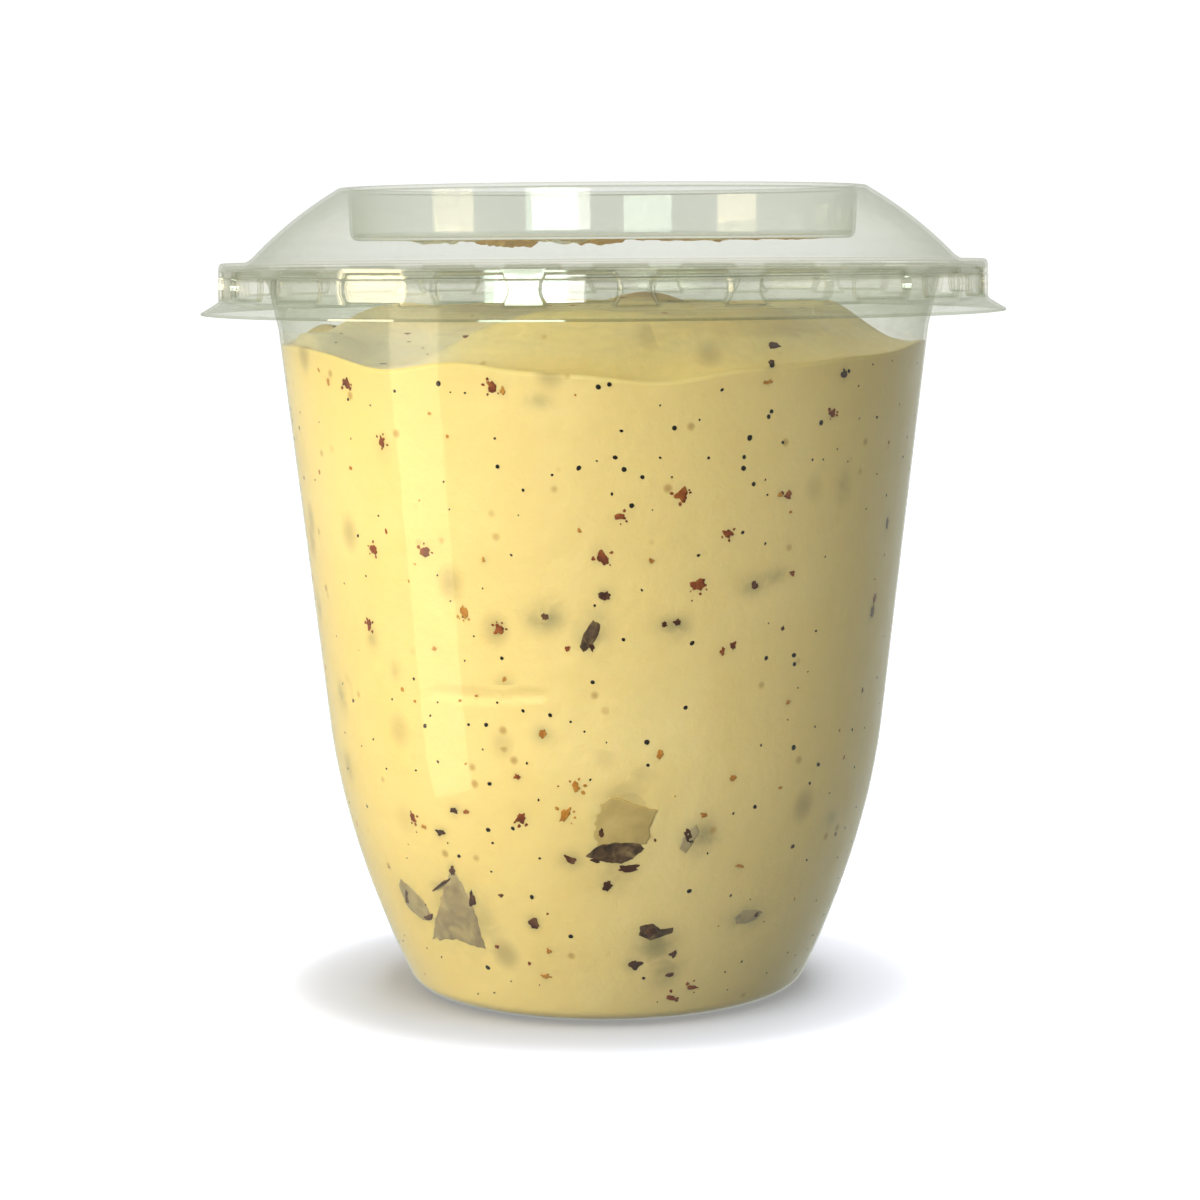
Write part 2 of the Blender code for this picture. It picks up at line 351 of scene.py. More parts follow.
def top_height(share, phi, rim_radius):
    """Height of the gelato's top: a trough by the wall, then a flat-topped scooped mound."""
    edge = float(contact_height(phi))
    x, y = share * rim_radius * math.sin(phi), -share * rim_radius * math.cos(phi)
    plateau = 86.55 + 0.45 * fractal(x, y, 13.0, 3.1) + 0.2 * fractal(x, y, 4.5, 9.0, 2)
    plateau += 0.25 * math.sin(0.22 * x + 0.11 * y + 1.6 * fractal(x, y, 16.0, 5.0, 2))
    # Peaks left by the scoop towards the back, and a lower right side.
    plateau += 0.55 * math.exp(-(((x + 16.5) / 4.5) ** 2) - ((y - 15.0) / 5.0) ** 2)
    plateau += 1.7 * math.exp(-(((x - 6.0) / 4.4) ** 2) - ((y - 16.0) / 5.0) ** 2)
    plateau -= 1.6 * float(smoothstep(18.0, 36.0, x)) * float(smoothstep(12.0, -16.0, y))
    right = float(bump_at(phi, 66, 42))
    lobed = 0.835 + 0.018 * math.sin(3 * phi + 0.6) + 0.02 * fractal(x, y, 18.0, 12.0, 2)
    rise = float(smoothstep(lobed + 0.125 + 0.04 * right, lobed - 0.05 - 0.07 * right, share)) ** 1.25
    trough = edge - (0.55 + 0.5 * float(bump_at(phi, -15, 50))) * (1.0 - 0.9 * right)
    dip = float(smoothstep(1.0, 0.965, share))
    low = edge + (trough - edge) * dip
    height = low + (plateau - low) * rise
    # The scoop left a hollow at the front left, and a low lump against the wall beside it.
    floor_z = 80.2 + 0.09 * max(y + 20.0, 0.0)
    height -= max(height - floor_z, 0.0) * min(1.1 * hollow_at(x, y), 1.0) * dip
    lump = math.exp(-(((x + 35.0) / 4.2) ** 2) - ((y + 12.0) / 7.5) ** 2)
    return height + max(83.75 - height, 0.0) * min(1.25 * lump, 1.0) * dip


def hollow_at(x, y):
    """1 in the middle of the scooped hollow at the front left, fading to 0 around it."""
    return math.exp(-(abs((x + 24.0 - 0.12 * y) / 11.5) ** 2.0) - (((y + 16.0) / 26.0) ** 4))


# ------------------------------------------------------------------ materials
def nodes_of(material):
    material.use_nodes = True
    tree = material.node_tree
    tree.nodes.clear()
    return tree


class Net:
    """Small helper for building node trees."""

    def __init__(self, material):
        self.tree = nodes_of(material)
        self.out = self.add("ShaderNodeOutputMaterial")

    def add(self, kind, **values):
        node = self.tree.nodes.new(kind)
        for key, value in values.items():
            if hasattr(node, key):
                setattr(node, key, value)
            else:
                self.put(node, key, value)
        return node

    def put(self, node, key, value):
        socket = node.inputs[key]
        if isinstance(value, bpy.types.NodeSocket):
            self.tree.links.new(value, socket)
        elif isinstance(value, bpy.types.Node):
            self.tree.links.new(value.outputs[0], socket)
        else:
            socket.default_value = value

    def link(self, a, b):
        self.tree.links.new(a, b)

    def math(self, operation, a, b=None, c=None, clamp=False):
        node = self.tree.nodes.new("ShaderNodeMath")
        node.operation = operation
        node.use_clamp = clamp
        for i, value in enumerate((a, b, c)):
            if value is not None:
                self.put(node, i, value)
        return node.outputs[0]

    def mix(self, factor, a, b, blend="MIX"):
        node = self.tree.nodes.new("ShaderNodeMix")
        node.data_type = "RGBA"
        node.blend_type = blend
        self.put(node, 0, factor)
        self.put(node, 6, a)
        self.put(node, 7, b)
        return node.outputs[2]

    def shade(self, factor, a, b):
        node = self.tree.nodes.new("ShaderNodeMixShader")
        self.put(node, 0, factor)
        self.put(node, 1, a)
        self.put(node, 2, b)
        return node.outputs[0]

    def noise(self, where, scale, detail=2.0, rough=0.5, distortion=0.0):
        node = self.tree.nodes.new("ShaderNodeTexNoise")
        self.put(node, "Vector", where)
        node.inputs["Scale"].default_value = scale
        node.inputs["Detail"].default_value = detail
        node.inputs["Roughness"].default_value = rough
        node.inputs["Distortion"].default_value = distortion
        return node.outputs["Fac"]

    def ramp(self, value, stops):
        node = self.tree.nodes.new("ShaderNodeValToRGB")
        self.put(node, 0, value)
        elements = node.color_ramp.elements
        while len(elements) < len(stops):
            elements.new(0.5)
        for element, (at, colour) in zip(elements, stops):
            element.position = at
            element.color = (*colour, 1.0) if len(colour) == 3 else colour
        return node.outputs[0]

    def range(self, value, lo, hi, to_lo=0.0, to_hi=1.0):
        node = self.tree.nodes.new("ShaderNodeMapRange")
        node.interpolation_type = "SMOOTHSTEP"
        self.put(node, 0, value)
        for i, number in enumerate((lo, hi, to_lo, to_hi), 1):
            node.inputs[i].default_value = number
        return node.outputs[0]

    def done(self, shader):
        self.link(shader, self.out.inputs[0])


def rgb(text):
    """Linear colour from an sRGB hex string."""
    values = [int(text[i : i + 2], 16) / 255 for i in (1, 3, 5)]
    return tuple(v / 12.92 if v <= 0.04045 else ((v + 0.055) / 1.055) ** 2.4 for v in values)


def rgba(text):
    return (*rgb(text), 1.0)


def clear_plastic(name, regions, haze, haze_amount, film=None, bends=True):
    """Thin clear sheet: tinted see-through, a little haze, gloss that grows towards grazing angles, and painted shade
    along its bends.

    regions are (height in mm, see-through colour of one surface) from the bottom up.
    """
    material = bpy.data.materials.new(name)
    net = Net(material)
    place = net.add("ShaderNodeTexCoord").outputs["Object"]
    height = net.add("ShaderNodeSeparateXYZ", Vector=place).outputs["Z"]
    layer = net.add("ShaderNodeLayerWeight")
    layer.inputs["Blend"].default_value = 0.5
    facing = layer.outputs["Facing"]
    grazing = net.math("POWER", facing, 4.5)
    slant = net.math("POWER", facing, 3.0)
    fine = net.noise(place, 900.0, 3.0, 0.6)
    broad = net.noise(place, 70.0, 3.0, 0.55, 0.4)
    low, high = regions[0][0], regions[-1][0]
    level = net.range(height, low * MM, high * MM)
    level.node.interpolation_type = "LINEAR"
    stops = [((z - low) / max(high - low, 1e-6), colour) for z, colour in regions]
    tint = net.ramp(level, stops)
    # The sheet is tinted deeper where it is seen at a slant; along its bends the deeper tint is painted shade, the dark
    # lines that thick clear sheet shows there.
    slant_tint_and_bend_shade = net.math("MULTIPLY", slant, 0.3)
    if bends:
        bend = net.add("ShaderNodeAttribute", attribute_name="bend").outputs["Fac"]
        slant_tint_and_bend_shade = net.math("MULTIPLY_ADD", bend, 1.0, slant_tint_and_bend_shade)
    deep = net.mix(1.0, tint, tint, "MULTIPLY")
    deep = net.mix(1.0, deep, tint, "MULTIPLY")
    deep = net.mix(1.0, deep, (0.84, 0.85, 0.82, 1.0), "MULTIPLY")
    see = net.add("ShaderNodeBsdfTransparent")
    net.link(net.mix(net.math("MINIMUM", slant_tint_and_bend_shade, 1.0), tint, deep), see.inputs["Color"])
    dust = net.add("ShaderNodeBsdfDiffuse")
    darker = tuple(c * 0.86 for c in haze[:3]) + (1.0,)
    net.put(dust, "Color", net.mix(net.math("MULTIPLY", broad, 0.35), haze, darker))
    dust.inputs["Roughness"].default_value = 1.0
    amount = net.math("MULTIPLY_ADD", net.range(fine, 0.35, 0.75), 0.012, haze_amount)
    amount = net.math("MULTIPLY_ADD", net.range(broad, 0.4, 0.8), 0.016, amount)
    amount = net.math("MULTIPLY_ADD", slant, 0.05, amount)
    if film:
        start, end, least, most = film
        layer_of = net.range(height, start * MM, end * MM)
        stretched = net.add("ShaderNodeMapping", Vector=place)
        stretched.inputs["Scale"].default_value = (1.0, 1.0, 3.0)
        streak = net.noise(stretched.outputs[0], 160.0, 4.0, 0.6, 1.0)
        amount = net.math("MULTIPLY_ADD", layer_of, net.range(streak, 0.25, 0.75, least, most), amount)
    body = net.shade(amount, see.outputs[0], dust.outputs[0])
    gloss = net.add("ShaderNodeBsdfGlossy")
    gloss.inputs["Color"].default_value = (1, 1, 1, 1)
    net.put(gloss, "Roughness", net.range(broad, 0.2, 0.8, 0.03, 0.07))
    bump = net.add("ShaderNodeBump")
    bump.inputs["Strength"].default_value = 0.3
    bump.inputs["Distance"].default_value = 0.0001
    net.put(bump, "Height", net.noise(place, 130.0, 2.0, 0.5, 0.3))
    net.link(bump.outputs[0], gloss.inputs["Normal"])
    mirror = net.math("MULTIPLY_ADD", grazing, 0.75, 0.045)
    # More gloss along the bends stands in for the bright glints that thick clear sheet shows there.
    if bends:
        mirror = net.math("MULTIPLY_ADD", bend, 0.10, mirror)
    net.done(net.shade(mirror, body, gloss.outputs[0]))
    return material


def gelato_material():
    material = bpy.data.materials.new("gelato_cream")
    net = Net(material)
    place = net.add("ShaderNodeTexCoord").outputs["Object"]
    cloud = net.noise(place, 42.0, 4.0, 0.55, 0.6)
    colour = net.ramp(
        cloud,
        [(0.25, rgb("#f0d68a")), (0.5, rgb("#f5dc92")), (0.75, rgb("#f9e29d"))],
    )
    # Soft grey-olive shadows of pieces that lie just under the surface.
    warped = net.add("ShaderNodeMapping", Vector=place)
    warped.inputs["Scale"].default_value = (1.0, 1.0, 0.8)
    deep = net.add("ShaderNodeTexVoronoi")
    net.put(deep, "Vector", warped.outputs[0])
    deep.inputs["Scale"].default_value = 165.0
    deep.inputs["Randomness"].default_value = 1.0
    pick = net.add("ShaderNodeSeparateColor", Color=deep.outputs["Color"]).outputs[0]
    rare = net.range(pick, 0.80, 0.92)
    spot = net.range(deep.outputs["Distance"], 0.42, 0.05)
    blot = net.math("MULTIPLY", net.math("MULTIPLY", rare, spot), 0.55)
    colour = net.mix(blot, colour, rgba("#a3905f"))
    stain = net.add("ShaderNodeAttribute", attribute_name="stain").outputs["Fac"]
    patchy = net.range(net.noise(place, 330.0, 3.0, 0.6, 0.4), 0.30, 0.62, 0.45, 1.15)
    colour = net.mix(net.math("MULTIPLY", stain, patchy, clamp=True), colour, rgba("#777356"))
    # Darker tan patches on the mound: a drier skin towards the back, and weaker patches at the middle and the front
    # right.
    tan_patch = net.add("ShaderNodeAttribute", attribute_name="tan_patch").outputs["Fac"]
    colour = net.mix(tan_patch, colour, rgba("#a88344"))
    # Painted light: the scooped hollow at the front left gets a paler, lighter cream colour, lifting it out of its
    # shade.
    shaded = net.add("ShaderNodeAttribute", attribute_name="hollow").outputs["Fac"]
    colour = net.mix(shaded, colour, rgba("#fff2cf"))
    # Tiny amber and brown dots under the surface.
    dots = net.add("ShaderNodeTexVoronoi")
    net.put(dots, "Vector", place)
    dots.inputs["Scale"].default_value = 420.0
    pick2 = net.add("ShaderNodeSeparateColor", Color=dots.outputs["Color"]).outputs[1]
    rare2 = net.range(pick2, 0.86, 0.93)
    spot2 = net.range(dots.outputs["Distance"], 0.30, 0.08)
    blot2 = net.math("MULTIPLY", net.math("MULTIPLY", rare2, spot2), 0.7)
    colour = net.mix(blot2, colour, rgba("#b58a45"))
    # Churned texture: broad soft streaks, slightly darker.
    streak = net.add("ShaderNodeMapping", Vector=place)
    streak.inputs["Scale"].default_value = (1.0, 1.0, 2.6)
    churn = net.range(net.noise(streak.outputs[0], 60.0, 3.0, 0.5, 1.2), 0.52, 0.72)
    colour = net.mix(net.math("MULTIPLY", churn, 0.16), colour, rgba("#ecd083"))
    shader = net.add("ShaderNodeBsdfPrincipled")
    net.put(shader, "Base Color", colour)
    net.put(shader, "Roughness", net.range(net.noise(place, 260.0, 3.0), 0.3, 0.7, 0.34, 0.5))
    shader.inputs["Subsurface Weight"].default_value = 0.22
    shader.inputs["Subsurface Radius"].default_value = (1.0, 0.62, 0.28)
    shader.inputs["Subsurface Scale"].default_value = 0.0016
    shader.inputs["IOR"].default_value = 1.38
    bump = net.add("ShaderNodeBump")
    bump.inputs["Strength"].default_value = 0.5
    bump.inputs["Distance"].default_value = 0.00025
    rough = net.math("ADD", net.noise(place, 520.0, 4.0, 0.6), net.math("MULTIPLY", net.noise(place, 150.0, 2.0), 1.2))
    net.put(bump, "Height", rough)
    net.link(bump.outputs[0], shader.inputs["Normal"])
    net.done(shader.outputs[0])
    return material


def speckled(name, stops, scale, roughness, subsurface=0.0):
    """An opaque small-piece material whose colour wanders between the stops."""
    material = bpy.data.materials.new(name)
    net = Net(material)
    place = net.add("ShaderNodeTexCoord").outputs["Object"]
    colour = net.ramp(net.noise(place, scale, 3.0, 0.6, 0.5), stops)
    shader = net.add("ShaderNodeBsdfPrincipled")
    net.put(shader, "Base Color", colour)
    net.put(shader, "Roughness", net.range(net.noise(place, scale * 2.0, 2.0), 0.3, 0.7, roughness - 0.08, roughness + 0.08))
    shader.inputs["Subsurface Weight"].default_value = subsurface
    shader.inputs["Subsurface Radius"].default_value = (1.0, 0.5, 0.25)
    shader.inputs["Subsurface Scale"].default_value = 0.001
    shader.inputs["Specular IOR Level"].default_value = 0.2
    bump = net.add("ShaderNodeBump")
    bump.inputs["Strength"].default_value = 0.6
    bump.inputs["Distance"].default_value = 0.0002
    net.put(bump, "Height", net.noise(place, scale * 1.6, 3.0))
    net.link(bump.outputs[0], shader.inputs["Normal"])
    net.done(shader.outputs[0])
    return material


cup_plastic = clear_plastic(
    "cup_clear",
    [(78.0, (0.985, 0.986, 0.98)), (83.0, (0.955, 0.96, 0.94)), (86.0, (0.955, 0.96, 0.94)), (88.5, (0.975, 0.98, 0.965)), (91.5, (0.975, 0.98, 0.965))],
    rgba("#d0d6ca"),
    0.004,
    (79.5, 84.0, 0.035, 0.10),
)
# The lid's see-through tint changes with height: deeper on the skirt as painted shade, and lighter on the ring as
# painted light, against the many layers of sheet seen there.
lid_plastic = clear_plastic(
    "lid_clear",
    [(86.0, (0.932, 0.94, 0.915)), (87.6, (0.94, 0.948, 0.92)), (88.6, (0.990, 0.988, 0.970)), (92.3, (0.990, 0.988, 0.972)), (92.8, (0.952, 0.958, 0.942)), (94.7, (0.957, 0.963, 0.948)), (95.6, (0.968, 0.973, 0.958)), (101.5, (0.970, 0.974, 0.962))],
    rgba("#ccd0c6"),
    0.012,
)
cream = gelato_material()
seed_black = speckled("seed_black", [(0.3, rgb("#0d0b06")), (0.7, rgb("#1d180c"))], 900.0, 0.6)
fleck_brown = speckled("fleck_brown", [(0.25, rgb("#4f1f0a")), (0.5, rgb("#8a3f14")), (0.8, rgb("#b46f2c"))], 700.0, 0.5, 0.2)
fleck_amber = speckled("fleck_amber", [(0.25, rgb("#96551a")), (0.5, rgb("#c58430")), (0.8, rgb("#dcaa50"))], 600.0, 0.5, 0.3)
date_pale = speckled("date_pale", [(0.25, rgb("#ab955c")), (0.5, rgb("#c9b06f")), (0.8, rgb("#e0c883"))], 170.0, 0.42, 0.25)
date_flesh = speckled("date_flesh", [(0.28, rgb("#8d7c62")), (0.45, rgb("#a49370")), (0.6, rgb("#b8a67c")), (0.78, rgb("#cbb888"))], 300.0, 0.42, 0.25)
date_dark = speckled("date_dark", [(0.3, rgb("#2a1c12")), (0.5, rgb("#5b4530")), (0.7, rgb("#8f764f"))], 520.0, 0.4, 0.1)
date_skin = speckled("date_skin", [(0.25, rgb("#26130b")), (0.5, rgb("#4e2a1a")), (0.8, rgb("#835a3c"))], 420.0, 0.4, 0.1)
# The cream smeared under the lid's floor is a darker tan than the cream itself: painted shade for its place under the
# floor.
smear_tan_painted_shade = speckled("smear_tan_painted_shade", [(0.25, rgb("#a8874a")), (0.5, rgb("#c0a05e")), (0.8, rgb("#d2b878"))], 300.0, 0.35, 0.3)
smear_film = clear_plastic("smear_film", [(80.0, (0.86, 0.86, 0.78)), (100.0, (0.86, 0.86, 0.78))], rgba("#d0ccb4"), 0.2, bends=False)


# ------------------------------------------------------------------ the pieces
def lug_level(heights):
    """-1 at the foot of the ring of lugs, 1 at its top."""
    return np.clip((heights - (LUG_TOP_Z + LUG_FOOT_Z) / 2) / ((LUG_TOP_Z - LUG_FOOT_Z) / 2), -1, 1)


def lug_press(offsets, heights, radii):
    """How far the pads are pressed inward; offsets are degrees from the nearest pad's middle."""
    v = lug_level(heights)
    ends = LUG_WIDTH_DEG / 2 - LUG_ROUND_DEG * v**2
    wide = smoothstep(ends + 0.24, ends - 0.24, np.abs(offsets))
    tall = smoothstep(1.0, 0.90, v) * smoothstep(-1.0, -0.86, v)
    near = radii > RING_RADIUS - 1.5
    return LUG_DEPTH * wide * tall * near


def lug_columns(heights):
    """Offsets and angles of the columns at each height: they follow the rounded ends of the lugs."""
    pitch = 360.0 / LUG_COUNT
    half = LUG_WIDTH_DEG / 2
    beside = [1.8, half - 1.5, half - 0.5, half - 0.22, half, half + 0.22, half + 0.5, half + 1.2]
    base = np.array([-b for b in beside[::-1]] + beside + [pitch / 2])
    bound = (np.abs(base) > 2.5) & (np.abs(base) < pitch / 2 - 0.01)
    share = bound * np.where(np.abs(base) < half - 1.0, 0.6, np.where(np.abs(base) > half + 1.0, 0.6, 1.0))
    bend = LUG_ROUND_DEG * lug_level(heights) ** 2
    offsets = base[None, :] - np.sign(base)[None, :] * share[None, :] * bend[:, None]
    turns = LUG_CENTRE_DEG + pitch * np.arange(LUG_COUNT)
    phis = (turns[None, :, None] + offsets[:, None, :]).reshape(len(heights), -1)
    folded = np.tile(np.where(offsets > pitch / 2 - 0.01, pitch / 2, offsets)[:, None, :], (1, LUG_COUNT, 1))
    return folded.reshape(len(heights), -1), np.radians(phis)


def build_cup():
    outside = cup_outside()  # from the lip's edge to the foot's centre
    line = outside[::-1]  # from the foot's centre to the lip
    inside = offset_line(line, -CUP_WALL)
    inside[0] = (0.0, CUP_WALL)
    section = np.array(line + inside[::-1], float)
    section[0, 0] = section[-1, 0] = 0.0
    phis = np.linspace(-math.pi, math.pi, 240, endpoint=False)
    radii = np.repeat(section[:, :1], len(phis), axis=1)
    heights = np.repeat(section[:, 1:], len(phis), axis=1)
    verts, faces = revolve(radii, heights, phis)
    obj = make_object("cup_shell", verts, faces, cup_plastic, 40)
    paint_bends(obj, 0.7, 3.2)
    return obj


def build_lid():
    outside = lid_outside()
    inside = offset_line(outside, LID_WALL)
    inside[0] = (0.0, WELL_FLOOR_Z - LID_WALL)
    section = np.array(outside + inside[::-1], float)
    section[0, 0] = section[-1, 0] = 0.0
    offsets, phis = lug_columns(section[:, 1])
    radii = np.repeat(section[:, :1], phis.shape[1], axis=1)
    heights = np.repeat(section[:, 1:], phis.shape[1], axis=1)
    radii = radii - lug_press(offsets, heights, radii)
    verts, faces = revolve(radii, heights, phis)
    obj = make_object("lid_shell", verts, faces, lid_plastic, 40)
    paint_bends(obj, 0.7, 3.2)
    return obj


def inner_line():
    """The cup's inner surface moved into the wall by BITE, from the foot's centre up."""
    line = rounded(bowl_corners(26))[::-1]
    inside = offset_line(line, -(CUP_WALL - BITE))
    inside[0] = (0.0, CUP_WALL - BITE)
    return np.array(inside, float)


INNER = inner_line()
TAPER = (TAPER_TOP_RADIUS - BOWL_TOP_RADIUS) / (TAPER_TOP_Z - BOWL_TOP_Z)


def side_radius(z):
    """Radius of the gelato's side at height z."""
    side = INNER[2:]
    last_r, last_z = side[-1]
    return np.where(
        np.asarray(z) > last_z,
        last_r + TAPER * (np.asarray(z) - last_z),
        np.interp(z, side[:, 1], side[:, 0]),
    )


def side_normal(z):
    """(radial, vertical) of the side's outward normal at height z."""
    step = 0.05
    slope = float((side_radius(z + step) - side_radius(z - step)) / (2 * step))
    length = math.hypot(1.0, slope)
    return 1.0 / length, -slope / length


# Shallow hollows where the cream pulled away from the wall: (phi deg, z mm, half-width mm, half-height mm, depth mm).
HOLLOWS = [
    (-26.0, 41.6, 7.5, 0.55, 0.28),
    (-14.6, 42.1, 2.6, 0.45, 0.30),
    (4.5, 27.6, 3.6, 4.2, 0.35),
    (-37.5, 13.5, 4.0, 5.0, 0.30),
    (-62.0, 40.0, 1.2, 2.0, 0.25),
    (150.0, 52.0, 5.0, 0.8, 0.3),
    (-140.0, 30.0, 3.0, 2.6, 0.3),
    (105.0, 22.0, 2.5, 3.2, 0.3),
]


# Soft grey shadows in the cream, of fruit just under it: (phi deg, z, half-width, half-height, strength).
SHADOWS = [
    (20.0, 24.3, 2.1, 2.0, 0.55), (11.6, 10.6, 2.4, 2.3, 0.65), (14.3, 7.4, 2.2, 2.4, 0.50),
    (-10.9, 51.4, 2.2, 1.7, 0.60), (12.4, 50.2, 2.0, 1.4, 0.50), (27.4, 54.6, 2.0, 1.2, 0.45),
    (31.6, 55.6, 1.7, 1.0, 0.40), (33.6, 13.2, 2.6, 1.5, 0.45), (-2.4, 49.9, 2.0, 2.4, 0.45),
    (0.6, 20.6, 3.2, 3.2, 0.30), (-7.4, 21.8, 1.5, 1.2, 0.40), (-31.0, 13.5, 3.0, 4.0, 0.35),
    (-50.0, 47.8, 1.2, 1.6, 0.40), (-66.0, 39.0, 1.6, 1.8, 0.45), (-44.0, 44.0, 0.9, 1.2, 0.35),
    (47.0, 65.5, 1.2, 2.0, 0.30), (-12.2, 37.4, 1.2, 1.0, 0.35), (6.8, 32.6, 1.5, 0.9, 0.25),
    (-68.0, 30.0, 1.8, 1.6, 0.40), (55.0, 24.0, 1.6, 1.2, 0.30), (-11.0, 76.6, 1.6, 0.9, 0.35),
]


def build_gelato():
    cols = 420
    phis = np.linspace(-math.pi, math.pi, cols, endpoint=False)
    contact = contact_height(phis)
    low = INNER[INNER[:, 1] < 2.6]
    radii, heights = [], []
    for r, z in low:
        radii.append(np.full(cols, r))
        heights.append(np.full(cols, z))
    # Even rows up the wall, so that small hollows have points to move.
    rows = 130
    start = float(low[-1][1])
    for k in range(1, rows + 1):
        z = start + (contact - start) * (k / rows)
        radii.append(side_radius(z))
        heights.append(z)
    rim = radii[-1]
    shares = [0.996, 0.988, 0.978, 0.965]
    shares += list(np.linspace(0.95, 0.70, 18)) + list(np.linspace(0.67, 0.04, 22))
    for share in shares:
        radii.append(rim * share)
        heights.append(np.array([top_height(share, p, r) for p, r in zip(phis, rim)]))
    radii.append(np.zeros(cols))
    heights.append(np.full(cols, top_height(0.0, 0.0, 40.0)))
    radii, heights = np.array(radii), np.array(heights)
    around = (phis + math.pi) % (2 * math.pi) - math.pi
    for phi, z, wide, tall, depth in HOLLOWS:
        across = ((around - math.radians(phi) + math.pi) % (2 * math.pi) - math.pi) * 36.0
        d = (across[None, :] / wide) ** 2 + ((heights - z) / tall) ** 2
        side = heights < contact[None, :] - 1.0
        radii = radii - depth * smoothstep(1.0, 0.25, d) * side * (radii > 5.0)
    verts, faces = revolve(radii, heights, phis)
    obj = make_object("gelato_fill", verts, faces, cream)
    spots = np.array([v.co[:] for v in obj.data.vertices]) / MM
    angle = np.arctan2(spots[:, 0], -spots[:, 1])
    reach = np.hypot(spots[:, 0], spots[:, 1])
    rim_here = side_radius(np.minimum(spots[:, 2], contact_height(angle)))
    on_side = reach > rim_here - 0.6
    stain = np.zeros(len(spots))
    random = np.random.default_rng(77)
    marks = list(SHADOWS)
    for _ in range(46):
        phi = random.uniform(80, 280)
        marks.append((phi, random.uniform(5, 78), random.uniform(0.9, 2.4), random.uniform(0.8, 2.2), random.uniform(0.25, 0.6)))
    # Each piece pressed on the wall has a soft edge of cream around it.
    marks += [(phi, z, 0.30 * wide + 0.55, 0.30 * tall + 0.55, 0.42) for phi, z, wide, tall, _ in SKINS]
    marks += [
        (phi, z, 0.55 * float(np.ptp(np.array(line)[:, 0])), 0.55 * float(np.ptp(np.array(line)[:, 1])), 0.30)
        for _, phi, z, _, line in PATCHES
    ]
    marks += [(phi, z, 0.25 * wide + 0.45, 0.25 * tall + 0.45, 0.16) for phi, z, wide, tall, _, _ in FLECKS]
    for phi, z, wide, tall, strength in marks:
        across = ((angle - math.radians(phi) + math.pi) % (2 * math.pi) - math.pi) * reach
        d = (across / wide) ** 2 + ((spots[:, 2] - z) / tall) ** 2
        stain = np.maximum(stain, strength * np.exp(-d) * on_side)
    paint(obj, "stain", stain)
    # Darker tan patches on the mound: towards the back a drier, darker skin, and weaker patches at the middle and the
    # front right.
    tan_patch = np.zeros(len(spots))
    for x, y, wide, tall, strength in (
        (-16.5, 14.0, 5.5, 4.5, 0.9), (6.0, 14.0, 5.5, 5.0, 1.0), (14.0, -30.0, 6.0, 5.0, 0.22), (21.0, -27.0, 7.0, 6.0, 0.34), (-12.0, 8.0, 9.0, 5.0, 0.25), (16.0, -6.0, 10.0, 5.0, 0.25), (2.0, 20.0, 7.0, 6.0, 0.35),
    ):
        d = ((spots[:, 0] - x) / wide) ** 2 + ((spots[:, 1] - y) / tall) ** 2
        tan_patch = np.maximum(tan_patch, strength * np.exp(-d) * (spots[:, 2] > 83.5))
    paint(obj, "tan_patch", tan_patch)
    # Mask of the scooped hollow, where the cream colour is lightened as painted light.
    on_top = spots[:, 2] > contact_height(angle) - 2.5
    scooped = np.array([hollow_at(float(x), float(y)) for x, y, _ in spots])
    paint(obj, "hollow", np.minimum(1.15 * scooped, 1.0) * on_top * (reach < rim_here * 0.985))
    return obj


def unit_lump(detail):
    """Vertices and faces of a small round lump of radius 1."""
    bm = bmesh.new()
    bmesh.ops.create_icosphere(bm, subdivisions=detail, radius=1.0)
    verts = np.array([v.co[:] for v in bm.verts])
    faces = [[v.index for v in f.verts] for f in bm.faces]
    bm.free()
    return verts, faces


def wall_frame(phi, z):
    """Position on the gelato's side and its (across, up, outward) axes, in mm."""
    r = float(side_radius(z))
    nr, nz = side_normal(z)
    out = np.array([nr * math.sin(phi), -nr * math.cos(phi), nz])
    across = np.array([math.cos(phi), math.sin(phi), 0.0])
    up = np.cross(out, across)
    if up[2] < 0:
        up = -up
    here = np.array([r * math.sin(phi), -r * math.cos(phi), z])
    return here, across, up, out


def top_frame(x, y):
    phi = math.atan2(x, -y)
    rim = float(side_radius(contact_height(phi)))
    share = math.hypot(x, y) / rim
    z = top_height(share, phi, rim)
    return np.array([x, y, z]), np.array([1.0, 0, 0]), np.array([0, 1.0, 0]), np.array([0, 0, 1.0])


class Scatter:
    """Collects many small lumps into one mesh."""

    def __init__(self, detail=2):
        self.base, self.faces = unit_lump(detail)
        self.verts, self.rings, self.count = [], [], 0

    def add(self, place, size, turn, proud, rough=0.25, seed=0.0):
        """size is (across, up, depth) half-sizes in mm; proud is how far the lump's outer face stands out of the surface."""
        here, across, up, out = place
        c, s = math.cos(turn), math.sin(turn)
        a, u = across * c + up * s, -across * s + up * c
        shape = self.base.copy()
        turns = np.arctan2(shape[:, 1], shape[:, 0])
        ragged = np.array(
            [
                1.0
                + rough * noise.noise(Vector((1.3 * math.cos(t), 1.3 * math.sin(t), seed * 3.1)))
                + 0.5 * rough * noise.noise(Vector((3.4 * math.cos(t), 3.4 * math.sin(t), seed * 1.7)))
                for t in turns
            ]
        )
        wide, tall, depth = size
        # Pressed flat against the wall on the outside, rounded on the inside.
        height = shape[:, 2]
        outward = np.where(height > 0, PROUD * proud * np.minimum(1.0, height * 3.0), depth * height)
        shape[:, :2] *= ragged[:, None]
        pts = (
            here
            + shape[:, :1] * wide * a
            + shape[:, 1:2] * tall * u
            + outward[:, None] * out
        )
        start = self.count
        self.verts.append(pts)
        self.rings += [[start + i for i in f] for f in self.faces]
        self.count += len(pts)

    def build(self, name, material):
        verts = np.vstack(self.verts) * MM
        return make_object(name, verts, self.rings, material)


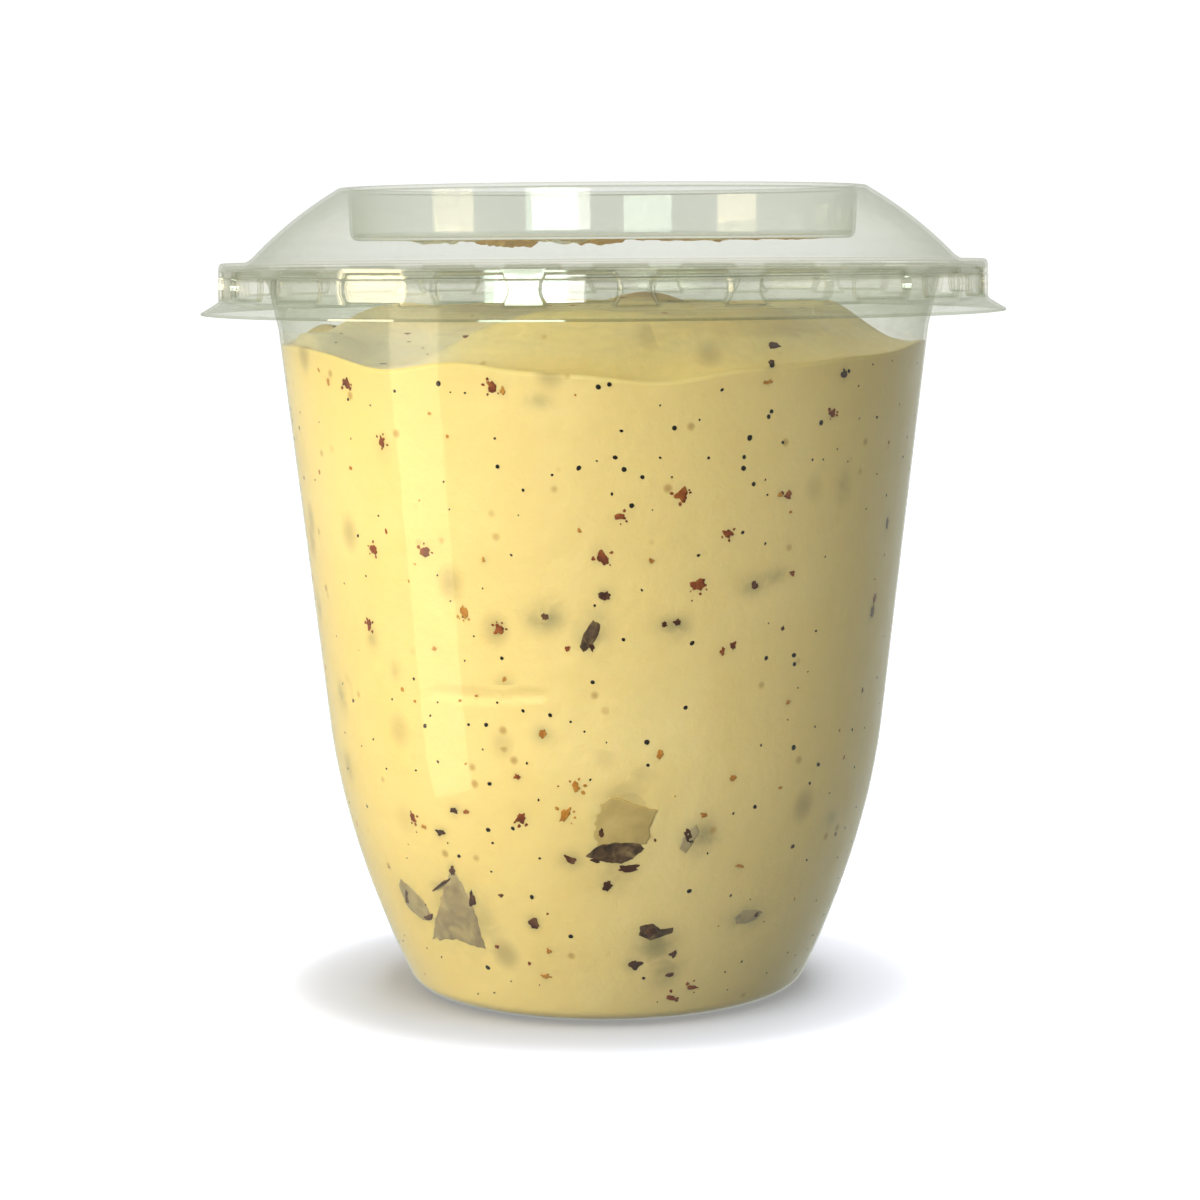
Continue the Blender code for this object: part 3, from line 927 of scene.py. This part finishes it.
# Fruit pieces pressed against the wall: outline corners are (across, up) mm from the centre.
PATCHES = [
    ("pale", 3.4, 26.4, 0.10, [(-1.6, 3.5), (1.1, 2.5), (3.8, 1.5), (3.2, -0.6), (2.8, -2.6), (0.0, -3.0), (-3.2, -3.1), (-3.6, -0.9), (-3.4, 0.9), (-2.6, 2.6)]),
    ("dark", 0.8, 22.8, 0.16, [(-3.1, -0.4), (-1.4, 1.1), (0.8, 1.4), (3.4, 1.2), (4.0, 0.5), (2.6, -0.8), (1.1, -1.4), (-0.9, -1.1)]),
    ("flesh", -37.0, 13.6, 0.12, [(0.9, 6.4), (1.6, 4.6), (2.3, 3.1), (2.9, 0.4), (3.0, -2.0), (3.2, -4.3), (0.6, -4.0), (-1.6, -3.7), (-4.2, -4.2), (-6.1, -4.3), (-5.0, -2.6), (-2.4, 1.2), (-0.4, 4.4)]),
    ("flesh", -51.5, 14.0, 0.12, [(-1.6, 2.8), (0.4, 1.9), (2.2, 0.6), (3.2, -1.7), (1.0, -2.4), (-1.9, -1.2), (-2.5, 1.3)]),
    ("dark", 11.0, 12.3, 0.12, [(-2.0, 0.9), (-0.4, 1.2), (0.6, 0.4), (2.1, 0.5), (2.2, -0.2), (0.8, -0.6), (-0.6, -1.1), (-2.1, -0.3)]),
    ("dark", -3.0, 49.2, 0.12, [(0.5, 2.0), (1.3, 1.4), (1.1, 0.2), (0.4, -1.0), (-0.8, -2.0), (-1.2, -1.3), (-0.7, 0.2), (0.0, 1.3)]),
    ("flesh", 16.6, 24.2, 0.12, [(0.9, 1.8), (1.3, 0.9), (0.7, -0.5), (-0.2, -1.8), (-1.0, -1.2), (-0.7, 0.2), (0.1, 1.2)]),
    ("flesh", 33.9, 13.1, 0.10, [(-1.9, 0.2), (-0.8, 1.0), (1.2, 0.9), (2.4, 0.3), (1.6, -0.6), (0.0, -0.9), (-1.4, -0.7)]),
    ("pale", 158.0, 33.0, 0.10, [(-3.2, 2.4), (0.4, 3.4), (3.0, 1.9), (2.6, -2.2), (-0.6, -3.1), (-3.4, -1.4)]),
    ("dark", 151.0, 30.0, 0.14, [(-2.4, 0.4), (0.2, 1.5), (2.6, 0.7), (2.0, -0.9), (-0.8, -1.4)]),
    ("flesh", -118.0, 24.0, 0.12, [(-2.4, 3.1), (0.4, 1.8), (2.9, -1.9), (1.2, -3.2), (-2.4, -2.2)]),
    ("dark", -124.0, 61.0, 0.12, [(-1.2, 1.7), (0.9, 1.0), (1.4, -1.1), (-0.4, -1.9), (-1.3, -0.4)]),
    ("flesh", 96.0, 44.0, 0.12, [(-1.7, 2.0), (0.6, 1.6), (2.3, -0.7), (0.5, -2.1), (-1.9, -0.8)]),
    ("dark", 121.0, 14.0, 0.14, [(-2.6, 0.3), (-0.4, 1.6), (2.4, 0.6), (1.9, -1.0), (-1.2, -1.2)]),
    ("flesh", -163.0, 12.0, 0.12, [(-3.0, -1.2), (-1.0, 2.0), (2.2, 2.4), (3.0, -0.4), (0.6, -2.2)]),
    ("dark", 176.0, 66.0, 0.12, [(-1.0, 1.3), (0.8, 1.2), (1.5, -0.6), (-0.2, -1.6), (-1.4, -0.5)]),
]

# Skin and dark bits of fruit: (phi deg, z, width, height, turn deg).
SKINS = [
    (3.9, 20.8, 3.0, 1.2, -8), (-40.5, 16.9, 4.6, 0.5, -34), (-31.6, 15.9, 1.2, 3.0, 14), (-47.3, 12.3, 2.4, 1.0, -20),
    (16.7, 24.6, 1.0, 2.6, -22), (9.9, 12.4, 1.7, 1.4, 0), (36.6, 13.2, 0.9, 1.0, 0), (-0.1, 18.6, 1.3, 1.6, 10),
    (-53.8, 14.4, 0.9, 2.6, 24), (-0.2, 54.0, 1.4, 1.4, 0), (6.3, 8.2, 1.7, 1.6, 0), (-35.5, 19.4, 1.0, 1.5, 0),
    (15.7, 9.2, 1.0, 1.1, 30), (15.6, 6.4, 1.2, 0.8, 0), (-16.9, 13.4, 1.4, 1.6, 0), (-32.4, 27.2, 1.4, 0.9, 10),
    (-36.8, 24.2, 1.4, 0.9, 0), (-11.0, 51.5, 0.9, 0.9, 0), (12.9, 50.6, 1.0, 0.8, 0), (10.6, 50.4, 0.8, 0.9, 0),
    (27.6, 54.6, 1.0, 1.1, 0), (28.6, 82.6, 1.8, 0.8, 12), (44.4, 79.0, 1.3, 1.2, 20), (28.5, 80.7, 0.7, 0.7, 0),
    (62.0, 49.4, 1.0, 2.0, 8), (64.8, 60.1, 0.8, 1.6, 0), (-2.4, 21.9, 1.4, 0.7, 12), (1.4, 23.6, 3.4, 0.5, 8),
    (-2.6, 48.0, 0.6, 1.3, -24), (-1.2, 25.4, 0.7, 1.1, 0), (-7.6, 21.9, 1.7, 1.0, 35),
]

# Red-brown and amber flecks: (phi deg, z, width, height, turn deg, amber or not).
FLECKS = [
    (16.6, 55.1, 2.2, 1.7, 12, 0), (13.0, 65.6, 1.7, 1.9, 20, 0), (-33.9, 58.6, 1.8, 1.6, 0, 0), (-0.4, 58.4, 1.3, 2.0, -28, 0),
    (-17.4, 26.9, 1.5, 1.8, 25, 0), (-19.7, 49.8, 1.2, 1.6, 35, 0), (-26.5, 51.7, 1.1, 1.9, 0, 1), (-8.4, 27.5, 1.1, 2.3, 32, 1),
    (-5.9, 31.0, 1.1, 1.9, -12, 1), (17.1, 3.1, 1.9, 0.8, 18, 0), (22.2, 4.3, 1.8, 0.7, 12, 0), (-18.7, 78.2, 1.3, 1.8, -20, 0),
    (21.9, 60.9, 1.5, 1.1, 25, 0), (-49.6, 78.2, 1.6, 1.7, 15, 0), (-43.9, 25.5, 1.1, 1.5, -15, 0), (-41.6, 71.5, 1.1, 1.6, 0, 0),
    (-50.4, 48.9, 1.2, 1.5, 0, 0), (2.6, 63.2, 1.5, 0.8, 10, 0), (-46.7, 58.4, 1.7, 1.0, 20, 0), (42.4, 74.4, 1.3, 1.2, 0, 0),
    (33.4, 65.1, 1.4, 1.1, -20, 0), (29.3, 20.1, 1.6, 0.6, 12, 1), (-15.8, 6.3, 1.4, 0.8, 0, 1), (-14.2, 9.8, 0.9, 0.9, 0, 1),
    (-17.6, 32.1, 1.0, 0.8, 0, 0), (10.1, 34.9, 0.9, 1.1, -15, 1), (23.9, 47.5, 0.9, 1.2, 15, 0), (35.7, 55.6, 1.1, 0.8, 0, 0),
    (21.8, 46.9, 0.7, 1.0, 0, 0), (-12.2, 37.4, 0.9, 1.1, 0, 1), (25.5, 31.4, 0.9, 0.8, 0, 1), (-55.1, 78.2, 0.8, 1.1, 0, 1),
    (19.6, 27.1, 1.0, 0.9, 20, 1), (-41.2, 24.6, 1.0, 0.6, 0, 1), (-27.6, 9.8, 0.7, 0.7, 0, 0), (-29.5, 27.2, 1.0, 0.7, 0, 0),
    (31.9, 65.2, 0.8, 0.8, 0, 1), (62.4, 51.0, 1.0, 1.2, 0, 0), (-16.9, 77.7, 0.9, 1.0, 0, 1), (-22.0, 58.0, 0.6, 0.6, 0, 1),
    (28.0, 78.4, 1.1, 0.8, 0, 1), (-33.5, 47.0, 0.8, 0.6, 0, 1), (8.0, 58.0, 0.8, 0.7, 0, 1), (37.0, 40.0, 0.9, 0.6, 0, 1),
]

# The plainest black seeds: (phi deg, z).
SEEDS = [
    (-18.4, 69.0), (-1.0, 78.2), (24.2, 68.5), (6.3, 67.8), (26.3, 66.6), (4.5, 64.5), (31.1, 45.7), (11.6, 73.4),
    (-2.5, 43.7), (28.5, 74.4), (29.0, 75.0), (31.0, 27.5), (0.8, 78.5), (-24.8, 25.2), (-8.6, 11.9), (-10.6, 39.7),
    (-16.7, 16.9), (14.9, 40.4), (-28.4, 78.5), (-32.9, 21.4), (-23.4, 38.2), (17.9, 17.5), (-37.4, 37.4), (15.8, 48.1),
    (25.1, 72.0), (24.2, 69.8), (39.8, 73.4), (-31.9, 6.7), (7.6, 36.4), (47.1, 31.6), (-19.3, 25.6), (1.7, 70.1),
    (3.2, 68.7), (-4.4, 68.9), (39.4, 34.3), (37.9, 44.6), (37.6, 45.7), (28.6, 80.4), (45.6, 79.3), (-23.5, 31.0),
]


def build_patches(kind, name, material):
    """One mesh of all the flat fruit pieces of a kind, each a closed low pad that follows the wall."""
    verts, faces = [], []
    for sort, phi, z, proud, outline in PATCHES:
        if sort != kind:
            continue
        seed = phi * 0.37 + z
        # A finer, slightly ragged outline.
        corners = np.array(outline, float)
        edge = []
        for i, corner in enumerate(corners):
            follow = corners[(i + 1) % len(corners)]
            for k in range(6):
                spot = corner + (follow - corner) * k / 6
                wave = 0.09 * noise.noise(Vector((spot[0] * 1.4, spot[1] * 1.4, seed)))
                wave += 0.05 * noise.noise(Vector((spot[0] * 4.0, spot[1] * 4.0, seed)))
                edge.append(spot * (1.0 + wave))
        edge = np.array(edge)
        middle = edge.mean(axis=0)
        base = math.radians(phi)
        start = len(verts)
        proud = proud * PROUD
        scales = [(1.0, -0.10), (0.985, 0.4 * proud), (0.93, 0.9 * proud), (0.75, proud), (0.5, proud), (0.25, proud)]
        under = [(0.9, -0.9), (0.55, -1.4)]
        for scale, lift in scales + under[::-1][::-1]:
            for spot in edge:
                across, up = middle + (spot - middle) * scale
                rough = 0.02 * noise.noise(Vector((across * 2.2, up * 2.2, seed + 5)))
                height = z + up
                r = float(side_radius(height)) + lift + (rough if lift > 0 else 0.0)
                angle = base + across / float(side_radius(z))
                verts.append((r * math.sin(angle), -r * math.cos(angle), height))
        n = len(edge)
        rings = len(scales)
        for row in range(rings - 1):
            for i in range(n):
                k = (i + 1) % n
                a, b = start + row * n, start + (row + 1) * n
                faces.append([a + i, a + k, b + k, b + i])
        top = start + (rings - 1) * n
        faces.append([top + i for i in range(n)])
        order = [0, rings, rings + 1]
        for first, second in zip(order, order[1:]):
            for i in range(n):
                k = (i + 1) % n
                a, b = start + first * n, start + second * n
                faces.append([a + k, a + i, b + i, b + k])
        bottom = start + (rings + 1) * n
        faces.append([bottom + i for i in range(n)][::-1])
    obj = make_object(name, np.array(verts) * MM, faces, material)
    bm = bmesh.new()
    bm.from_mesh(obj.data)
    bmesh.ops.triangulate(bm, faces=[f for f in bm.faces if len(f.verts) > 4])
    bm.to_mesh(obj.data)
    bm.free()
    return obj


def build_specks():
    skins, browns, ambers, seeds = Scatter(3), Scatter(3), Scatter(3), Scatter(2)
    for i, (phi, z, wide, tall, turn) in enumerate(SKINS):
        place = wall_frame(math.radians(phi), z)
        skins.add(place, (wide * 0.42, tall * 0.42, 0.5), math.radians(-turn), 0.12, 0.75, i + 0.5)
    for i, (phi, z, wide, tall, turn, amber) in enumerate(FLECKS):
        place = wall_frame(math.radians(phi), z)
        kind = ambers if amber else browns
        kind.add(place, (wide * 0.40, tall * 0.40, 0.45), math.radians(-turn), 0.09, 0.75, i + 11.5)
        # Crumbs by the larger flecks.
        if wide * tall > 1.2:
            for _ in range(4):
                side = RNG.uniform(0, 2 * math.pi)
                gap = 0.55 * max(wide, tall)
                crumb = wall_frame(
                    math.radians(phi) + gap * math.cos(side) / 36.0, z + gap * math.sin(side)
                )
                size = RNG.uniform(0.10, 0.26)
                kind.add(crumb, (size, size * 0.8, 0.2), side, 0.07, 0.4, i + side)
    for i, (phi, z) in enumerate(SEEDS):
        size = RNG.uniform(0.26, 0.36)
        seeds.add(wall_frame(math.radians(phi), z), (size, size * RNG.uniform(0.75, 1.0), 0.28), RNG.uniform(0, 3.1), 0.12, 0.15, i)
    # The rest, scattered round the whole wall.
    known = [(phi, z) for phi, z, *_ in SKINS + FLECKS] + SEEDS
    known += [(phi, z) for _, phi, z, _, _ in PATCHES]

    def free(phi, z, gap):
        for other, height in known:
            across = ((phi - other + 180) % 360 - 180) * 0.63
            if math.hypot(across, z - height) < gap:
                return False
        return True

    def spot(gap):
        while True:
            phi = RNG.uniform(-180, 180)
            z = RNG.uniform(2.5, 80.5)
            if z < float(contact_height(math.radians(phi))) - 0.8 and free(phi, z, gap):
                known.append((phi, z))
                return phi, z

    for i in range(330):
        phi, z = spot(1.4)
        size = 0.11 + 0.14 * RNG.random() ** 1.6
        seeds.add(wall_frame(math.radians(phi), z), (size, size * RNG.uniform(0.6, 1.0), 0.2), RNG.uniform(0, 3.1), 0.07, 0.2, i * 1.3)
    for i in range(190):
        phi, z = spot(2.0)
        size = 0.13 + 0.26 * RNG.random() ** 1.7
        if abs((phi + 180) % 360 - 180) > 80:
            size *= 1.5
        kind = (browns, ambers, ambers, skins)[RNG.integers(0, 4)]
        kind.add(wall_frame(math.radians(phi), z), (size, size * RNG.uniform(0.5, 1.0), 0.3), RNG.uniform(0, 3.1), 0.05, 0.5, i * 0.7)
    # And on the top of the mound.
    for i in range(70):
        angle, reach = RNG.uniform(0, 2 * math.pi), 39.0 * math.sqrt(RNG.uniform(0.02, 1.0))
        place = top_frame(reach * math.sin(angle), reach * math.cos(angle))
        if i % 2:
            size = RNG.uniform(0.14, 0.26)
            seeds.add(place, (size, size * 0.8, 0.2), RNG.uniform(0, 3.1), 0.10, 0.2, i)
        else:
            size = RNG.uniform(0.2, 0.6)
            kind = (browns, ambers, skins)[RNG.integers(0, 3)]
            kind.add(place, (size, size * 0.7, 0.3), RNG.uniform(0, 3.1), 0.12, 0.5, i)
    return [
        skins.build("date_skins", date_skin),
        browns.build("flecks_brown", fleck_brown),
        ambers.build("flecks_amber", fleck_amber),
        seeds.build("vanilla_seeds", seed_black),
    ]


def build_lid_smears(name, spots, material, seed, drop):
    """Cream that stuck to the underside of the well's floor: uneven pads hanging from it."""
    step = 0.36
    xs = np.arange(-30.5, 30.6, step)
    ys = np.arange(-30.5, 12.6, step)
    top = WELL_FLOOR_Z - LID_WALL + 0.05
    depth = np.zeros((len(xs), len(ys)))
    for i, x in enumerate(xs):
        for j, y in enumerate(ys):
            if math.hypot(x, y) > WELL_RADIUS - 2.2:
                continue
            best = -1.0
            for cx, cy, wide, tall, deep in spots:
                d = math.hypot((x - cx) / wide, (y - cy) / tall)
                rough = 0.55 * noise.noise(Vector((x * 0.55, y * 0.55, seed)))
                rough += 0.30 * noise.noise(Vector((x * 1.5, y * 1.5, seed + 4)))
                best = max(best, (1.0 - d + rough) * deep)
            if best > 0:
                wrinkle = 0.75 + 0.5 * noise.noise(Vector((x * 1.1, y * 0.35, seed + 9)))
                depth[i, j] = 0.02 + drop * float(smoothstep(0.0, 0.7, best)) * wrinkle
    verts, faces, index = [], [], {}

    def vertex(i, j, low):
        flat = depth[i, j] <= 0.0
        key = (i, j, low and not flat)
        if key not in index:
            index[key] = len(verts)
            verts.append((xs[i], ys[j], top - (depth[i, j] if low else 0.0)))
        return index[key]

    for i in range(len(xs) - 1):
        for j in range(len(ys) - 1):
            corners = [(i, j), (i + 1, j), (i + 1, j + 1), (i, j + 1)]
            if max(depth[c] for c in corners) <= 0.0:
                continue
            faces.append([vertex(*c, False) for c in corners])
            faces.append([vertex(*c, True) for c in corners][::-1])
    # Faces whose corners all coincide above and below are dropped.
    kept, seen = [], {}
    for face in faces:
        key = tuple(sorted(face))
        seen[key] = seen.get(key, 0) + 1
    for face in faces:
        if seen[tuple(sorted(face))] == 1:
            kept.append(face)
    return make_object(name, np.array(verts) * MM, kept, material)


# (x, y, half-length, half-depth, depth share)
SMEARS_CREAM = [
    (-11.0, -24.0, 4.0, 2.6, 1.0), (0.4, -27.5, 2.4, 1.6, 1.0), (-1.4, -10.0, 4.0, 3.0, 0.6),
    (8.0, -20.0, 5.0, 3.0, 0.45), (17.0, -16.0, 7.0, 3.0, 0.35), (24.0, -8.0, 5.0, 3.0, 0.25), (-14.0, 2.0, 5.0, 3.0, 0.5),
]
SMEARS_FILM = [
    (-20.5, -19.0, 7.5, 2.6, 0.8), (-5.0, -26.5, 3.6, 2.0, 0.75), (13.0, -24.0, 7.0, 2.0, 0.35), (-22.0, 3.0, 5.0, 4.0, 0.4),
]


def build():
    cup = build_cup()
    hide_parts("cup")
    gelato = build_gelato()
    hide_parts("gelato")
    lid = build_lid()
    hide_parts("lid")
    fruit = [
        build_patches("pale", "date_pale", date_pale),
        build_patches("flesh", "date_flesh", date_flesh),
        build_patches("dark", "date_dark", date_dark),
    ]
    smears = [
        build_lid_smears("lid_smears", SMEARS_CREAM, smear_tan_painted_shade, 2.5, 0.95),
        build_lid_smears("lid_film", SMEARS_FILM, smear_film, 8.5, 0.6),
    ]
    loose = fruit + build_specks() + smears
    return [cup, gelato, lid] + loose


pieces = build()
for piece in pieces:
    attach(piece, "root")


# ----------------------------------------------------------- stage and lights
def build_stage():
    material = bpy.data.materials.new("floor_white")
    net = Net(material)
    # Lit and shaded copies of the floor: the camera sees a bright, bluish one, and other rays a dark grey one, so the
    # floor's bounce stays dim.
    lit = net.add("ShaderNodeBsdfDiffuse")
    lit.inputs["Color"].default_value = (0.47, 0.485, 0.56, 1.0)
    soft = net.add("ShaderNodeBsdfDiffuse")
    soft.inputs["Color"].default_value = (0.13, 0.13, 0.125, 1.0)
    path = net.add("ShaderNodeLightPath")
    camera_ray = path.outputs["Is Camera Ray"]
    base = net.shade(camera_ray, soft.outputs[0], lit.outputs[0])
    place = net.add("ShaderNodeTexCoord").outputs["Object"]
    far = net.tree.nodes.new("ShaderNodeVectorMath")
    far.operation = "LENGTH"
    oval = net.add("ShaderNodeMapping", Vector=place)
    oval.inputs["Scale"].default_value = (0.9, 1.0, 1.0)
    net.link(oval.outputs[0], far.inputs[0])
    # Camera-only glow that whitens the floor, weaker near the cup: a painted shadow round the base, lifted a little
    # right by the base.
    outside = net.range(far.outputs["Value"], 0.024, 0.051, 0.0, 1.0)
    glow_with_painted_shadow = net.add("ShaderNodeEmission")
    glow_with_painted_shadow.inputs["Color"].default_value = (1, 1, 1, 1)
    shadow_lift = net.range(far.outputs["Value"], 0.026, 0.036, 0.27, 0.0)
    net.put(glow_with_painted_shadow, "Strength", net.math("MULTIPLY", camera_ray, net.math("ADD", outside, shadow_lift)))
    add = net.add("ShaderNodeAddShader")
    net.link(base, add.inputs[0])
    net.link(glow_with_painted_shadow.outputs[0], add.inputs[1])
    net.done(add.outputs[0])
    bm = bmesh.new()
    bmesh.ops.create_grid(bm, x_segments=4, y_segments=4, size=6.0)
    mesh = bpy.data.meshes.new("floor")
    bm.to_mesh(mesh)
    bm.free()
    mesh.materials.append(material)
    floor = bpy.data.objects.new("floor", mesh)
    floor.location = (0.0, 0.0, -0.0003)
    bpy.context.scene.collection.objects.link(floor)
    floor.visible_shadow = False
    floor.visible_glossy = False

    world = bpy.data.worlds.new("studio")
    bpy.context.scene.world = world
    world.use_nodes = True
    tree = world.node_tree
    tree.nodes.clear()
    out = tree.nodes.new("ShaderNodeOutputWorld")
    path = tree.nodes.new("ShaderNodeLightPath")
    seen = tree.nodes.new("ShaderNodeBackground")
    seen.inputs[0].default_value = (1.0, 1.0, 1.0, 1.0)
    seen.inputs[1].default_value = 1.05
    dim = tree.nodes.new("ShaderNodeBackground")
    coord = tree.nodes.new("ShaderNodeTexCoord")
    split = tree.nodes.new("ShaderNodeSeparateXYZ")
    tree.links.new(coord.outputs["Generated"], split.inputs[0])
    ramp = tree.nodes.new("ShaderNodeMapRange")
    tree.links.new(split.outputs[0], ramp.inputs[0])
    ramp.inputs[1].default_value = -1.0
    ramp.inputs[2].default_value = 1.0
    mix = tree.nodes.new("ShaderNodeMix")
    mix.data_type = "RGBA"
    tree.links.new(ramp.outputs[0], mix.inputs[0])
    mix.inputs[6].default_value = (0.24, 0.24, 0.18, 1.0)
    mix.inputs[7].default_value = (0.155, 0.172, 0.122, 1.0)
    tree.links.new(mix.outputs[2], dim.inputs[0])
    dim.inputs[1].default_value = 1.0
    mirrored = tree.nodes.new("ShaderNodeBackground")
    # Reflections are dark towards the viewer's side of the room and pale to the sides and behind.
    depth = tree.nodes.new("ShaderNodeMapRange")
    depth.interpolation_type = "SMOOTHSTEP"
    tree.links.new(split.outputs[1], depth.inputs[0])
    depth.inputs[1].default_value = -0.95
    depth.inputs[2].default_value = -0.15
    room = tree.nodes.new("ShaderNodeMix")
    room.data_type = "RGBA"
    tree.links.new(depth.outputs[0], room.inputs[0])
    room.inputs[6].default_value = (0.13, 0.13, 0.11, 1.0)
    room.inputs[7].default_value = (0.62, 0.64, 0.57, 1.0)
    tree.links.new(room.outputs[2], mirrored.inputs[0])
    mirrored.inputs[1].default_value = 1.0
    other = tree.nodes.new("ShaderNodeMixShader")
    tree.links.new(path.outputs["Is Glossy Ray"], other.inputs[0])
    tree.links.new(dim.outputs[0], other.inputs[1])
    tree.links.new(mirrored.outputs[0], other.inputs[2])
    blend = tree.nodes.new("ShaderNodeMixShader")
    tree.links.new(path.outputs["Is Camera Ray"], blend.inputs[0])
    tree.links.new(other.outputs[0], blend.inputs[1])
    tree.links.new(seen.outputs[0], blend.inputs[2])
    tree.links.new(blend.outputs[0], out.inputs[0])
    return floor


def window(name, azimuth, low, high, distance, width, radiance, colour, seen=True):
    """An upright rectangular light; azimuth is from the front, positive to the right, low and high are elevations."""
    middle = 0.05 + distance * 0.5 * (math.tan(math.radians(low)) + math.tan(math.radians(high)))
    height = distance * (math.tan(math.radians(high)) - math.tan(math.radians(low)))
    data = bpy.data.lights.new(name, "AREA")
    data.shape = "RECTANGLE"
    data.size, data.size_y = width, height
    data.energy = radiance * math.pi * width * height
    data.color = colour
    lamp = bpy.data.objects.new(name, data)
    a = math.radians(azimuth)
    lamp.location = (distance * math.sin(a), -distance * math.cos(a), middle)
    lamp.rotation_euler = (math.radians(90.0), 0.0, a)
    lamp.visible_glossy = seen
    bpy.context.scene.collection.objects.link(lamp)
    return lamp


def lights_only(lamp, objects):
    """This light reaches only these objects, though anything can still cast a shadow in it."""
    group = bpy.data.collections.new(lamp.name + "_lit")
    for obj in objects:
        group.objects.link(obj)
    lamp.light_linking.receiver_collection = group


floor = build_stage()
windows = [
    window("window_left", -69.0, -9.0, 17.0, 0.75, 0.29, 5.4, (1.0, 0.83, 0.54)),
    window("window_left_low", -69.0, -27.0, -9.0, 0.75, 0.27, 2.0, (1.0, 0.83, 0.54)),
    window("window_front", -22.0, -7.0, 17.0, 0.90, 0.40, 5.0, (0.82, 1.0, 0.85)),
    window("window_front_sill", -18.5, -2.6, 2.2, 0.88, 0.40, 6.5, (1.0, 1.0, 0.94)),
]
fills = [
    window("key_front", -25.0, -4.0, 40.0, 1.0, 0.9, 4.2, (0.90, 0.92, 1.0), seen=False),
    window("key_left", -75.0, -6.0, 40.0, 1.0, 0.9, 3.1, (1.0, 0.85, 0.27), seen=False),
    window("key_top", -25.0, 48.0, 66.0, 0.55, 0.6, 4.6, (1.0, 0.98, 0.88), seen=False),
    window("back_soft", 165.0, -10.0, 40.0, 1.0, 1.2, 0.6, (1.0, 0.99, 0.92), seen=False),
]
for lamp in windows:
    # The windows make the reflections, and the fills make the light.
    lamp.visible_diffuse = False
for lamp in windows + fills:
    lights_only(lamp, pieces)

sky_data = bpy.data.lights.new("sky", "AREA")
sky_data.shape = "RECTANGLE"
sky_data.size, sky_data.size_y = 0.6, 0.9
sky_data.energy = 12.4 * math.pi * 0.6 * 0.9
sky = bpy.data.objects.new("sky", sky_data)
sky.location = (0.06, 0.05, 0.9)
sky.visible_glossy = False
bpy.context.scene.collection.objects.link(sky)
lights_only(sky, [floor])


def build_camera():
    data = bpy.data.cameras.new("camera")
    data.lens = 89.36
    data.sensor_width = 36.0
    data.clip_start, data.clip_end = 0.01, 20.0
    camera = bpy.data.objects.new("camera", data)
    turn = Euler((math.radians(90.0 - 6.834), 0.0, 0.0)).to_matrix().to_4x4()
    roll = Matrix.Rotation(math.radians(-0.4), 4, "Z")
    camera.matrix_world = Matrix.Translation((-0.00067, -0.3795, 0.09447)) @ turn @ roll
    bpy.context.scene.collection.objects.link(camera)
    bpy.context.scene.camera = camera


build_camera()
scene = bpy.context.scene
scene.view_settings.view_transform = "Standard"
scene.cycles.transparent_max_bounces = 40
scene.cycles.max_bounces = 8
